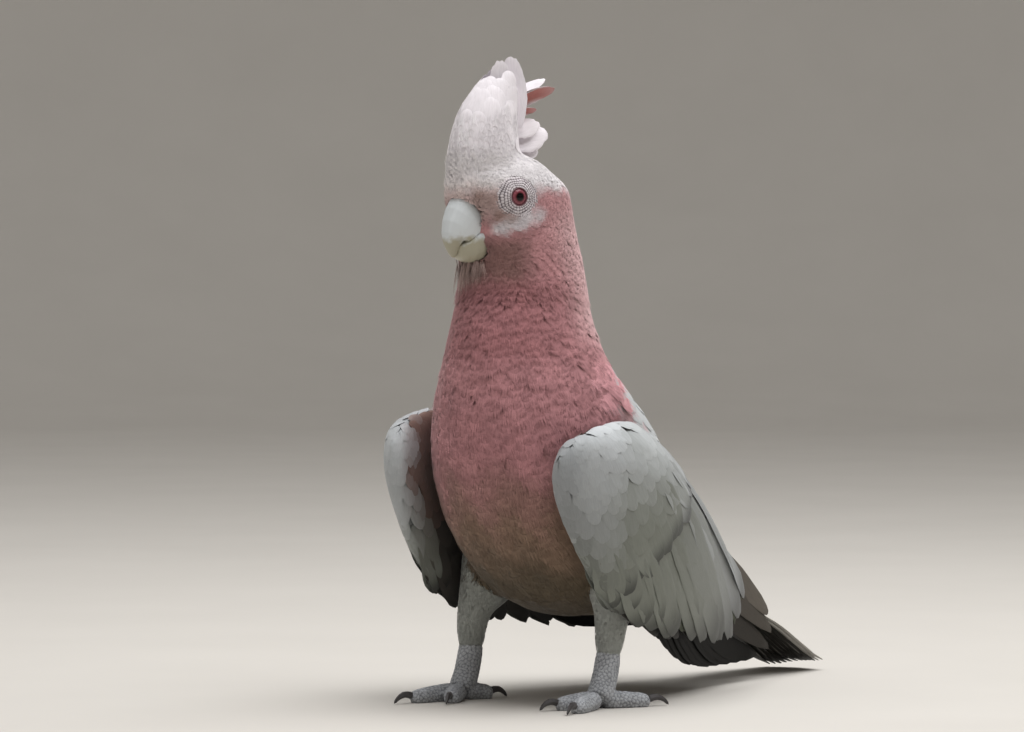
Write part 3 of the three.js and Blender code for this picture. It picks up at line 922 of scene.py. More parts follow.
def eye_material():
    """A wet eyeball: clear cornea over a dark red iris, so it has a sharp coat over its colours."""
    cornea = {"Coat Weight": 0.9, "Coat Roughness": 0.02, "Coat IOR": 1.376}
    surface = {"Roughness": 0.4, "Specular IOR Level": 0.0, **cornea}
    material, tree, shader = new_material("wet eyeball", surface)
    tint = node(tree, "ShaderNodeAttribute", {"attribute_name": "Tint"})
    tree.links.new(tint.outputs["Color"], shader.inputs["Base Color"])
    return material


EYEBALL = eye_material()

# ------------------------------------------------------------------ skin


def coat_table(values):
    """A coat setting in metres at each point, read off one of the tables along the body."""

    def read(points):
        place, _, _ = along_body(points)
        face = face_nearness(points)
        return np.interp(place, np.arange(len(SPINE)), values) * MM * (1 - 0.5 * face)

    return read


def face_nearness(points):
    """1 beside the bill and the eye rings, and 0 from 11 mm away."""
    gap = np.linalg.norm(points - BILL_ROOT, axis=1) - 13 * MM
    for centre in EYES.values():
        gap = np.minimum(gap, np.linalg.norm(points - centre, axis=1) - 8 * MM)
    return rising(11 * MM, 1 * MM, gap)


BODY_NODES = ["head", "neck", "trunk"]
WING_NODES = {s: [f"wing_{s}_coverts", f"wing_{s}_secondaries"] for s in SIDES}
TOES = ["inner_back", "inner_front", "outer_front", "outer_back"]
FOOT_NODES = {s: [f"tarsus_{s}"] + [f"toe_{s}_{toe}" for toe in TOES] for s in SIDES}
THIGH_NODES = {s: f"thigh_{s}" for s in SIDES}


def hide_shape(names, grain_mm, rounds, depth, thigh_floor=None):
    """CAD nodes as one smooth closed shape, pulled in by the coat's depth."""
    solid = welded(names, 0.4 * MM, thigh_floor)
    return relaxed(remeshed("hide", solid, grain_mm * MM), rounds, depth)


body_shape = hide_shape([*BODY_NODES, *THIGH_NODES.values()], 1.3, 4, coat_table(COAT_DEPTH), 42 * MM)
BODY = Hide(body_shape)
wing_shapes = {side: hide_shape(WING_NODES[side], 1.2, 3, 1.1 * MM) for side in SIDES}
WINGS = {side: Hide(wing_shapes[side]) for side in SIDES}
thigh_shapes = {side: hide_shape([THIGH_NODES[side]], 1.1, 3, 1.5 * MM) for side in SIDES}
THIGHS = {side: Hide(thigh_shapes[side]) for side in SIDES}


def hide_shade(points, marks):
    """Skin takes the coat's own colours, darker, as it lies in the coat's shade."""
    return marks(points) * 0.88


def make_skin():
    """One skin over head, neck, trunk, thighs and wings."""
    bm = bmesh.new()
    deep_wings = [relaxed(mesh.copy(), 0, 0.8 * MM) for mesh in wing_shapes.values()]
    for mesh in [body_shape, *deep_wings, *thigh_shapes.values()]:
        bm.from_mesh(mesh)
    mesh = relaxed(remeshed("skin", mesh_of(bm, "joined"), 1.45 * MM), 2)
    points, _, _ = arrays(mesh)
    colour = hide_shade(points, body_marks)
    for side in SIDES:
        wing_gap = np.array([WINGS[side].tree.find_nearest(p)[3] for p in points.tolist()])
        colour = blend(colour, hide_shade(points, wing_marks), rising(2.6 * MM, 1.5 * MM, wing_gap))
        thigh_gap = np.array([THIGHS[side].tree.find_nearest(p)[3] for p in points.tolist()])
        colour = blend(colour, hide_shade(points, thigh_marks), rising(1.5 * MM, 0.4 * MM, thigh_gap))
    set_tint(mesh, colour)
    mesh.shade_smooth()
    skin = new_piece("skin", mesh, SKIN)
    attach(skin, "root")
    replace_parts(skin, *BODY_NODES, "thigh_left", "thigh_right")


def make_foot(side):
    """A shank and its four toes as one scaly skin of small rounded beads."""
    mesh = relaxed(remeshed("foot", welded(FOOT_NODES[side], 0.35 * MM), 0.5 * MM), 4)
    points, _, normals = arrays(mesh)
    rng = np.random.default_rng(SEED + 5)
    mixed_up = points[rng.permutation(len(points))]
    gap = 1.25 * MM
    seeds = mixed_up[spaced(mixed_up, np.full(len(points), gap))].tolist()
    tree = KDTree(len(seeds))
    for index, point in enumerate(seeds):
        tree.insert(point, index)
    tree.balance()
    crease = np.empty(len(points))
    for index, point in enumerate(points.tolist()):
        (_, _, near), (_, _, far) = tree.find_n(point, 2)
        crease[index] = (far - near) / gap
    bead = rising(0.0, 0.45, crease)
    points = points + normals * ((bead - 0.5) * 0.34 * MM)[:, None]
    points[:, 2] = np.maximum(points[:, 2], 0)
    mesh.vertices.foreach_set("co", points.ravel())
    # Painted shade in the creases between the scales.
    colour = blend(SHANK_CREASE_SHADE, SHANK_GREY, bead) * (1 + 0.10 * mottle(points / MM, 3, 21))[:, None]
    set_tint(mesh, colour)
    mesh.update()
    mesh.shade_smooth()
    foot = new_piece(f"scaly_foot_{side}", mesh, SCALES)
    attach(foot, "root")
    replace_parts(foot, *FOOT_NODES[side])
    for toe in TOES:
        claw = NODES[f"claw_{side}_{toe}"]
        claw.data.materials.clear()
        claw.data.materials.append(CLAW_HORN)


# ------------------------------------------------------------------ head: eyes, eye rings, bill


def make_eye(side):
    """An eyeball with a black pupil, a dark red iris and a dark rim."""
    centre, outward = Vector(EYES[side]), Vector(GAZE[side])
    bm = bmesh.new()
    bmesh.ops.create_uvsphere(bm, u_segments=72, v_segments=96, radius=EYE_RADIUS)
    turn = Vector((0, 0, 1)).rotation_difference(outward).to_matrix().to_4x4()
    bmesh.ops.transform(bm, matrix=Matrix.Translation(centre) @ turn, verts=bm.verts)
    mesh = mesh_of(bm, f"eyeball_{side}")
    points, _, _ = arrays(mesh)
    away, axis = points - np.array(centre), np.array(outward)
    out = np.linalg.norm(away - (away @ axis)[:, None] * axis, axis=1) / MM
    around = np.arctan2(away[:, 2], away @ np.cross(axis, [0, 0, 1]))
    fibres = 0.85 + 0.15 * np.sin(around * 34) * np.sin(around * 21 + 1)
    iris = blend(IRIS_INNER, IRIS_OUTER, rising(1.7, 2.6, out)) * fibres[:, None]
    colour = blend(PUPIL, iris, rising(1.62, 1.78, out))
    colour = blend(colour, IRIS_RIM, rising(3.0, 3.3, out))
    set_tint(mesh, colour)
    mesh.shade_smooth()
    eye = new_piece(f"eyeball_{side}", mesh, EYEBALL)
    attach(eye, "root")
    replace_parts(eye, f"eye_{side}")


def bead_height(points, out, around):
    """How far each point of an eye ring rises, from 0 to 1: rings of beads round a plain lid rim."""
    ring = (out / MM - 4.2) / 0.98 + 0.42 * mottle(points / MM, 3.0, 31)
    count = 24 + 6 * np.floor(ring + 0.5)
    wobble = 0.35 * np.sin(around * 3 + 1.3 * np.floor(ring + 0.5))
    cut = np.abs(np.cos(0.5 * count * around + wobble * 4)) ** 0.7
    beads = np.abs(np.cos(math.pi * ring)) ** 0.6 * (0.3 + 0.7 * cut)
    lid_rim = 0.8 * rising(3.3 * MM, 3.7 * MM, out) * rising(4.05 * MM, 3.8 * MM, out)
    beads = np.where(out < 4.0 * MM, lid_rim, beads)
    return beads * (0.78 + 0.22 * mottle(points / MM, 1.6, 32))


def make_eye_ring(side):
    """Bare skin round an eye: a lid rim and rings of small beads, which sink under the feathers."""
    outward = GAZE[side]
    upward = np.array([0, 0, 1.0])
    forward = np.cross(outward, upward)
    centre = EYES[side]
    lip, rim, under = 3.35 * MM, EYE_RING + 1.6 * MM, 1.6 * MM
    bm = bmesh.new()
    rings = 44
    outer = [bm.verts.new((lip + (rim - lip) * i / rings, 0, 0)) for i in range(rings + 1)]
    inner = [bm.verts.new((rim, 0, -under)), bm.verts.new((lip, 0, -under))]
    loop = outer + inner
    edges = [bm.edges.new((a, b)) for a, b in zip(loop, loop[1:] + loop[:1])]
    spin_round(bm, loop + edges, 220, 1e-7)
    points = np.array([vert.co for vert in bm.verts])
    out = np.linalg.norm(points[:, :2], axis=1)
    around = np.arctan2(points[:, 1], points[:, 0])
    flat = centre + points[:, :1] * forward + points[:, 1:2] * upward
    angles = np.linspace(-math.pi, math.pi, 73)
    level = []
    for angle in angles:
        start = centre + rim * (math.cos(angle) * forward + math.sin(angle) * upward) + outward * 0.02
        level.append((np.array(BODY.tree.ray_cast(Vector(start), Vector(-outward))[0]) - centre) @ outward)
    skin = np.interp(around, angles, level)
    lid = math.sqrt(EYE_RADIUS**2 - lip**2) + 0.2 * MM
    settle = np.clip((out - lip) / (rim - lip), 0, 1) ** 1.5
    beads = bead_height(points, out, around)
    high = lid * (1 - settle) + skin * settle + beads * 0.5 * MM
    high = np.where(points[:, 2] > -0.5 * MM, high, high - under)
    shaped = flat + high[:, None] * outward
    for vert, place in zip(bm.verts, shaped.tolist()):
        vert.co = place
    bmesh.ops.recalc_face_normals(bm, faces=bm.faces)
    mesh = mesh_of(bm, f"eye_ring_{side}")
    # Painted shade in the creases between the beads.
    colour = blend(RING_CREASE_SHADE, RING_SKIN, rising(0.1, 0.62, beads))
    colour = blend(colour, LID_RED, rising(4.1 * MM, 3.7 * MM, out))
    set_tint(mesh, colour)
    mesh.shade_smooth()
    piece = new_piece(f"eye_ring_{side}", mesh, BARE_SKIN)
    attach(piece, "root")


# The bill in the head's own frame, in mm: for each section its ridge and its edge as (ahead, up), and
# half its width at the edge.
UPPER_BILL = [
    ((10, 2.5), (4, -7.5), 9.2),
    ((17.5, 2.4), (9.5, -10.6), 9.6),
    ((21.8, -0.4), (12, -12.2), 9.3),
    ((24.6, -4.4), (14.6, -14.2), 8.6),
    ((26.5, -9.6), (17, -16.6), 7.5),
    ((27.3, -14.6), (19.2, -18.4), 6.0),
    ((27.1, -18.2), (20.6, -17.8), 4.6),
    ((26.2, -21.0), (21.2, -19.8), 3.2),
    ((24.9, -23.4), (21.7, -22.4), 2.0),
    ((23.4, -25.2), (22.0, -24.8), 0.9),
]
LOWER_BILL = [
    ((4, -23), (4, -10), 9.0),
    ((8, -25.6), (9.4, -11.6), 10.5),
    ((12, -27), (13.4, -14.0), 10.2),
    ((15.6, -27.2), (16.6, -16.8), 8.8),
    ((18.6, -26.4), (19.2, -19.0), 6.8),
    ((20.6, -25), (21, -19.8), 5.0),
    ((21.7, -23.2), (21.9, -20.6), 3.2),
]


# The bare skin out of which the halves grow, given in the same way.
UPPER_ROOT = [((6, 3.2), (1, -8.5), 9.7), ((10.4, 3.2), (4, -8.3), 9.9), ((15.8, 3.1), (8, -10.9), 10.1)]
LOWER_ROOT = [((2, -23.4), (2, -9.5), 9.4), ((6.8, -26), (8, -11.2), 10.2)]


def make_bill():
    """The two halves of the bill, each rounded outside with a sharp cutting edge, and their roots' skin."""
    around = 28
    parts = {"bill_upper": UPPER_BILL, "bill_lower": LOWER_BILL}
    parts |= {"skin_upper": UPPER_ROOT, "skin_lower": LOWER_ROOT}
    for name, sections in parts.items():
        bm = bmesh.new()
        loop = bmesh.ops.create_circle(bm, cap_ends=True, segments=around, radius=1)["verts"]
        face = loop[0].link_faces[0]
        for step, (ridge, edge, half_width) in enumerate(sections):
            if step:
                grown = bmesh.ops.extrude_face_region(bm, geom=[face])["geom"]
                face = [part for part in grown if isinstance(part, bmesh.types.BMFace)][0]
            for index, vert in enumerate(face.verts):
                turn = 2 * math.pi * index / around
                side, high = math.sin(turn), math.cos(turn)
                outer = high > 0
                width = half_width * math.copysign(abs(side) ** (0.75 if outer else 1.0), side)
                share = high**0.9 if outer else -0.12 * (-high) ** 1.5
                place = [edge[i] + (ridge[i] - edge[i]) * share for i in (0, 1)]
                vert.co = head_point(width, *place)
        bmesh.ops.recalc_face_normals(bm, faces=bm.faces)
        horn = name.startswith("bill")
        mesh = relaxed(remeshed(name, mesh_of(bm, f"{name}_horn"), 0.3 * MM), 5)
        mesh.shade_smooth()
        half = new_piece(f"{name}_horn" if horn else f"bill_{name}", mesh, BILL_HORN if horn else BARE_SKIN)
        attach(half, "root")
        if horn:
            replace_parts(half, name)
        else:
            set_tint(mesh, np.tile(BILL_SKIN, (len(mesh.vertices), 1)))


# ------------------------------------------------------------------ the soft coat


def body_lie(points, normals):
    """The way the feathers lie: back from the bill over the head, then down the body."""
    _, down, _ = along_body(points)
    from_bill = unit(points - BILL_ROOT)
    nape = np.array([0, 0.1, -0.8])
    _, ahead, up = in_head(points).T
    head_way = from_bill + nape * rising(0, 20, -ahead)[:, None] * rising(26, 4, up)[:, None]
    share = rising(176, 200, points[:, 2] / MM)[:, None]
    return flat_to(normals, unit(head_way) * share + down * (1 - share))


def clear_of_face(points):
    """1 where body feathers may root: not in the eye rings or the bill."""
    keep = np.ones(len(points))
    for side, centre in EYES.items():
        away = points - centre
        outward = GAZE[side]
        flat = np.linalg.norm(away - (away @ outward)[:, None] * outward, axis=1)
        keep = keep * np.where((flat < EYE_RING - 0.4 * MM) & (away @ outward > -3 * MM), 0, 1)
    head = in_head(points)
    gape = np.hypot(head[:, 1] - 14.5, head[:, 2] + 14) < 2.4
    return keep * np.where(gape, 0, 1)


def clear_of_thighs(points):
    """False inside the thighs."""
    keep = np.ones(len(points), bool)
    for hide in THIGHS.values():
        spots, normals = hide.drop(points)
        keep &= dot(points - spots, normals)[:, 0] > 0
    return keep


def jittered(ways, normals, amount, rng):
    """Directions turned a little at random within the surface."""
    turn = rng.normal(0, amount, len(ways))[:, None]
    return unit(ways * np.cos(turn) + np.cross(normals, ways) * np.sin(turn))


def rise_profile(depth, steps, stand):
    """Each feather's height along its line: up from inside the skin, then slowly on to its tip."""
    run = np.linspace(0, 1, steps + 1)[None, :]
    lift = 0.88 * np.sin(np.minimum(run / 0.45, 1) * math.pi / 2) + 0.12 * run
    return -0.5 + (depth[:, None] / MM + 0.5) * lift + stand[:, None] * run**2


def make_cheek_hairs(rng, roots, normals, ways, long, deep):
    """Fine hairs that lie over the feathers of the cheeks and the upper neck."""
    hairs = [hair_tuft(rng, 7, 0.4) for _ in range(6)]
    place, _, _ = along_body(roots)
    who = (roots[:, 2] > 176 * MM) & (place > 1.0) & (rng.uniform(size=len(roots)) < 0.45)
    roots, normals, ways, long, deep = (field[who] for field in (roots, normals, ways, long, deep))
    count = len(roots)
    lines, tops = BODY.paths(roots, jittered(ways, normals, 0.1, rng), 1.5 * long)
    height = rise_profile(deep + rng.uniform(0, 0.4, count) * MM, 5, np.full(count, 0.1))
    tint = body_marks(lines[:, 2]) * rng.uniform(0.86, 1.2, (count, 1))
    coat = Coat("cheek_hairs", DOWN, "pink_plumage", 0.6)
    coat.add(hairs, lines, tops, np.full(count, 2.4 * MM), height, tint, round_body(roots), SEED + 6)
    coat.finish()


def make_body_coat():
    """The feathers of head, neck and trunk, from the bill back, in pieces by region."""
    rng = np.random.default_rng(SEED)
    soft = [contour_feather(rng, 3, 3, 26, 0.3) for _ in range(6)]
    small = [contour_feather(rng, 2, 2, 18, 0.35) for _ in range(6)]
    tiny = [contour_feather(rng, 2, 2, 9, 0.4) for _ in range(6)]
    mantle = [firm_feather(rng, 4, 6, 0.62, 0.25) for _ in range(4)]
    tables = (FEATHER_GAP, FEATHER_LENGTH, FEATHER_WIDTH, COAT_DEPTH)
    gap, length, width, depth = (coat_table(table) for table in tables)
    roots, normals = BODY.scatter(gap, clear_of_face, SEED)
    open_air = clear_of_thighs(roots)
    roots, normals = roots[open_air], normals[open_air]
    place, _, angle = along_body(roots)
    ways = jittered(body_lie(roots, normals), normals, 0.13, rng)
    long = length(roots) * rng.uniform(0.82, 1.18, len(roots))
    spots, tops = BODY.paths(roots, ways, long)
    wide = width(roots) * rng.uniform(0.85, 1.2, len(roots))
    deep = depth(roots) * rng.uniform(0.96, 1.03, len(roots))
    ruffled = rng.uniform(size=len(roots)) < 0.03
    stand = 0.02 + rng.uniform(0.3, 0.8, len(roots)) * ruffled * rising(1, 4, place)
    # The throat's last feathers stand out a little over the neck, as a loose ruff.
    high = roots[:, 2] / MM
    stand += 1.4 * rising(184, 179, high) * rising(171, 175, high) * rising(0.9, 1.7, angle)
    tint = body_marks(spots[:, 3]) * rng.uniform(0.93, 1.06, (len(roots), 1))
    height = rise_profile(deep, 5, stand)
    unwrap = round_body(roots)
    make_cheek_hairs(rng, roots, normals, ways, long, deep)
    grey = (angle < 1.5) & (place > 5.4)
    face = face_nearness(roots) > 0.45
    groups = {
        "face_coat": (face, tiny, DOWN, "pink_plumage"),
        "head_coat": (~face & (place < 4), small, DOWN, "white_plumage"),
        "neck_coat": (~face & (place >= 4) & (place < 6.2) & ~grey, soft, DOWN, "pink_plumage"),
        "breast_coat": ((place >= 6.2) & (place < 8.6) & ~grey, soft, DOWN, "pink_plumage"),
        "belly_coat": ((place >= 8.6) & ~grey, soft, DOWN, "pink_plumage"),
        "mantle_coat": ((place >= 4) & grey, mantle, FIRM, "grey_plumage"),
    }
    fringe = {FIRM: 0.02, DOWN: 0.1}
    for name, (who, vanes, material, slot) in groups.items():
        coat = Coat(name, material, slot, 0.78, fringe[material])
        fields = [field[who] for field in (spots, tops, wide, height, tint, unwrap)]
        coat.add(vanes, *fields, SEED, hide=BODY)
        coat.finish()


def make_thigh_coat(side):
    """Short feathers over a thigh, smallest and flattest where they end above the foot."""
    rng = np.random.default_rng(SEED + 2)
    joined = welded([f"thigh_{side}", f"tarsus_{side}"], 0.4 * MM)
    hide = Hide(relaxed(remeshed("thigh", joined, 1.1 * MM), 5, 0.9 * MM))
    small = [contour_feather(rng, 2, 2, 16, 0.25) for _ in range(5)]
    low_end, top = (corner.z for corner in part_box(f"thigh_{side}"))

    def size(points, low, high):
        return (low + (high - low) * rising(0.02, top, points[:, 2])) * MM

    def feathered(points):
        return np.where(points[:, 2] > low_end + (3 + 2.5 * mottle(points / MM, 4, 14)) * MM, 1.0, 0.0)

    roots, normals = hide.scatter(lambda p: size(p, 1.35, 2.5), feathered, SEED + 2)
    down = np.tile(np.array([0, 0.12, -1.0]), (len(roots), 1))
    ways = jittered(flat_to(normals, down), normals, 0.12, rng)
    spots, tops = hide.paths(roots, ways, size(roots, 5, 10))
    shape = size(roots, 2.6, 5.5)
    depth = (0.25 + 0.75 * rising(low_end, low_end + 14 * MM, roots[:, 2])) * MM
    height = rise_profile(depth, 5, np.zeros(len(roots)))
    tint = thigh_marks(spots[:, 3]) * rng.uniform(0.95, 1.05, (len(roots), 1))
    centre = middle(f"thigh_{side}")
    turn = np.arctan2(roots[:, 1] - centre[1], roots[:, 0] - centre[0]) / (2 * math.pi) + 0.5
    unwrap = np.stack([0.02 + 0.96 * turn, roots[:, 2] / 0.11], axis=1)
    coat = Coat(f"thigh_coat_{side}", DOWN, "thigh_plumage", 0.75)
    coat.add(small, spots, tops, shape, height, tint, unwrap, SEED + 2, hide=hide)
    coat.finish()


def make_loose_tufts():
    """Feathers that stand loose: the shoulder's over each wing's wrist, and the beard's under the bill."""
    rng = np.random.default_rng(SEED + 3)
    soft = [contour_feather(rng, 3, 4, 26, 0.4) for _ in range(4)]
    wispy = [hair_tuft(rng, 18, 0.6) for _ in range(6)]
    coat = Coat("loose_tufts", DOWN, "pink_plumage", 0.6)
    count, beard = 30, 90
    sign = np.repeat([1, -1], count)
    starts = rng.uniform((30, -92, 131), (38, -76, 150), (2 * count, 3)) * MM
    starts[:, 0] *= sign
    roots, normals = BODY.drop(starts)
    lie = np.stack([0.5 * sign, np.full(2 * count, 0.42), np.full(2 * count, -0.75)], axis=1)
    ways = jittered(flat_to(normals, lie), normals, 0.16, rng)
    length = rng.uniform(13, 18, 2 * count)
    spots, tops = BODY.paths(roots, ways, length * MM)
    lowness = rising(146, 132, roots[:, 2] / MM)
    height = rise_profile(coat_table(COAT_DEPTH)(roots), 5, rng.uniform(1.5, 5, 2 * count) * lowness)
    tint = np.tile(SHOULDER_PINK, (2 * count, 1)) * rng.uniform(0.93, 1.08, (2 * count, 1))
    coat.add(soft, spots, tops, 0.45 * length * MM, height, tint, round_body(roots), SEED + 4)
    left = rng.uniform(-8, 7, beard)
    roots = head_point(left, rng.uniform(10, 16, beard), rng.uniform(-29, -24, beard))
    share = np.linspace(0, 1, 6)[None, :, None]
    sway = rng.normal(0, 0.15, (beard, 3)) + FACING * 0.18 + np.array([0, 0, -1.0])
    length = rng.uniform(9, 19, (beard, 1, 1)) * MM
    bend = FACING * rng.uniform(-0.45, 0.0, (beard, 1, 1)) * length * share**2
    spots = roots[:, None] + unit(sway)[:, None] * length * share + bend
    tops = np.broadcast_to(unit(FACING + 0.12 * left[:, None] * TO_LEFT)[:, None], spots.shape)
    tint = np.tile(BEARD_GREY, (beard, 1)) * rng.uniform(0.8, 1.15, (beard, 1))
    wide = np.full(beard, 3.0 * MM)
    coat.add(wispy, spots, tops, wide, np.zeros((beard, 6)), tint, round_body(roots), SEED + 5)
    coat.finish()


# ------------------------------------------------------------------ wings


def wing_fall(across):
    """How steeply feathers point down behind each place across a wing, in radians."""
    return np.radians(np.interp(across, [-15, 50], [58, 34]))


def feather_row(coat, sheet, vanes, run, across, length, width, over, roll, seed, to_edge=False):
    """A row of firm feathers over a wing's sheet. over is the row's height above it, in mm."""
    rng = np.random.default_rng(seed)
    y, z = wing_place(run + rng.uniform(-1.2, 1.2, len(run)), across + rng.uniform(-0.8, 0.8, len(run)))
    z = z + (RIGHT_RAISE if sheet.side < 0 else 0)
    fall = wing_fall(across) + rng.normal(0, 0.025, len(run))
    if to_edge:
        length = sheet.length_to_edge(y, z, fall, 150) + rng.uniform(-1.5, 1.0, len(run))
    else:
        length = length * rng.uniform(0.92, 1.08, len(run))
    whole = length > 12
    spots, normals = sheet.paths(y[whole], z[whole], fall[whole], length[whole])
    run, steps = run[whole], spots.shape[1]
    along = np.linspace(0, 1, steps)[None, :]
    height = (over - 1.0) + 1.0 * np.sin(np.minimum(along / 0.4, 1) * math.pi / 2) + np.zeros((len(run), 1))
    inner = np.full(len(run), float(sheet.face < 0))
    tint = wing_marks(spots[:, steps // 2], inner) * rng.uniform(0.94, 1.05, (len(run), 1))
    wide = width * MM * rng.uniform(0.95, 1.08, len(run))
    place = over_wing(spots[:, 0], sheet.face)
    look = {"camber": 0.015, "roll": roll, "dark_root": 0.9}
    coat.add(vanes, spots, normals, wide, height, tint, place, seed, **look)


def make_wing_rows(side, vanes):
    """Two rows of long feathers on each face of a wing: the ones at its edge, and the coverts over them."""
    sign = SIDES[side]
    # The feathers' tips are much darker: partly their own darker tips, partly painted shade along the wing's
    # lower edge.
    coat = Coat(f"wing_feathers_{side}", FIRM, "grey_plumage", 0.75, -0.75)
    lower_edge = -sign * 0.02  # each feather's lower edge lies over the next one down
    for face, count, top in ((-1, 9, 30), (1, 13, 50)):
        sheet = WingSheet(sign, face, WING_NODES[side])
        roll = lower_edge * face
        across = np.linspace(-13, top, count)
        run = np.full(count, 52.0)
        feather_row(coat, sheet, vanes, run, across, None, 16.5, -0.5, roll, SEED + 31, True)
        across = np.linspace(-15, top, count)
        feather_row(coat, sheet, vanes, 43 + 0.05 * across, across, 32.0, 14, -0.25, roll, SEED + 32)
    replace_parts(coat.finish(), *WING_NODES[side])


def make_coverts(side, vanes, rng):
    """The small feathers over the front of a wing, which grow towards the long ones."""
    sign = SIDES[side]
    hide = WINGS[side]
    raised = RIGHT_RAISE if sign < 0 else 0

    def run_mm(points):
        return wing_run(points[:, 1] / MM, points[:, 2] / MM - raised)

    def by_run(points, values):
        return np.interp(run_mm(points), [0, 18, 46], values) * MM

    def in_front(points):
        return np.where(run_mm(points) < 47, 1.0, 0.0)

    roots, normals = hide.scatter(lambda p: by_run(p, [1.35, 3.1, 5.2]), in_front, SEED + 40)
    across = wing_across(roots[:, 1] / MM, roots[:, 2] / MM)
    fall = wing_fall(across)
    lie = np.stack([np.full(len(roots), 0.5 * sign), np.cos(fall), -np.sin(fall)], axis=1)
    lie[:, 2] -= 2.0 * rising(0, 0.4, -normals[:, 1])  # down along the leading edge
    ways = jittered(flat_to(normals, lie), normals, 0.07, rng)
    spots, tops = hide.paths(roots, ways, by_run(roots, [5.5, 12, 21]))
    height = rise_profile(by_run(roots, [0.4, 0.9, 0.85]), 5, np.zeros(len(roots)))
    inner_face = rising(-0.65, -0.93, tops[:, 3, 0] * sign)
    tint = wing_marks(spots[:, 3], inner_face) * rng.uniform(0.98, 1.02, (len(roots), 1))
    if sign > 0:
        tint = tint * (1 - 0.3 * rising(0.1, 0.8, -tops[:, 2, 1]))[:, None]  # painted shade: the left wing's forward-facing leading edge is darker
    wide = by_run(roots, [4.2, 7.6, 12])
    coat = Coat(f"wing_coverts_{side}", FIRM, "grey_plumage", 0.82, 0.03)
    coat.add(vanes, spots, tops, wide, height, tint, over_wing(roots, 1), SEED + 41, hide=hide)
    coat.finish()


def make_wing(side):
    """A folded wing's grey feathers."""
    rng = np.random.default_rng(SEED + 30)
    broad = [firm_feather(rng, 8, 14, 0.85, 0.12) for _ in range(6)]
    scallop = [firm_feather(rng, 6, 6, 0.8, 0.12) for _ in range(5)]
    make_wing_rows(side, broad)
    make_coverts(side, scallop, rng)


def bent(start, bend, end, share):
    """Curves from start to end, drawn towards bend, as rows of values at each share of the way."""
    start, bend, end = start[:, None], bend[:, None], end[:, None]
    return (1 - share) ** 2 * start + 2 * share * (1 - share) * bend + share**2 * end


def make_primaries(side):
    """Long dark flight feathers, which lie inside the folded wing and pass it behind and below."""
    sign = SIDES[side]
    rng = np.random.default_rng(SEED + 50)
    blades = [firm_feather(rng, 8, 14, 0.75, 0.12) for _ in range(4)]
    coat = Coat(f"flight_feathers_{side}", DARK, "slate_plumage")
    count = 14 if sign > 0 else 8
    order = np.arange(count)
    share = np.linspace(0, 1, 9)
    start_y, start_z = -30 - 2.6 * order, 66 - 1.2 * order
    end_y = np.interp(order, [0, 1, 2, 13], [69, 73, 71, -46])
    end_z = np.interp(end_y, [-49, -24, -8, 18, 42, 60], [34, 21, 14.5, 12.5, 12, 12])
    end_z = np.where(order < 3, np.interp(order, [0, 1, 2], [29, 21, 14]), end_z)
    if sign < 0:
        end_z = end_z + np.interp(order, [0, 2], [0, 11])  # the lower ones are hidden behind the belly
    # Each bends over to lie along the wing's lower edge, except the first three.
    reach = 0.45 * np.hypot(end_y - start_y, end_z - start_z)
    slope = np.interp(end_y, [-49, 0, 20], [0.5, 0.2, 0.05])
    slope = np.where(order < 3, np.interp(order, [0, 2], [0.75, 0.4]), slope)
    y = bent(start_y, end_y - reach / np.hypot(1, slope), end_y, share)
    z = bent(start_z, end_z + slope * reach / np.hypot(1, slope), end_z, share)
    raise_z = RIGHT_RAISE if sign < 0 else 0
    inset = np.interp(y, [-51, 15, 47, 73], [-6, -5.5, -3.5, -0.5]) - 0.2 * order[:, None]
    x = wing_middle(y, z + raise_z, sign) + sign * inset
    spots = np.stack([x, y, z + raise_z], axis=2) * MM
    normals = np.zeros_like(spots)
    normals[..., 0] = sign
    normals[..., 2] = 0.15
    tint = np.tile(PRIMARY_SLATE, (count, 1)) * rng.uniform(0.8, 1.1, (count, 1))
    tint = tint * np.interp(order, [0, 1, 3], [2.1, 1.2, 0.06])[:, None]  # painted light and shade: the uppermost paler, the lower ones nearly black as painted deep shade
    height = np.zeros((count, len(share)))
    wide = np.full(count, 13 * MM)
    place = over_wing(spots[:, 0], 1)
    coat.add(blades, spots, unit(normals), wide, height, tint, place, SEED + 51, camber=0.03, dark_root=0.8)
    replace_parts(coat.finish(), f"wing_{side}_primaries")


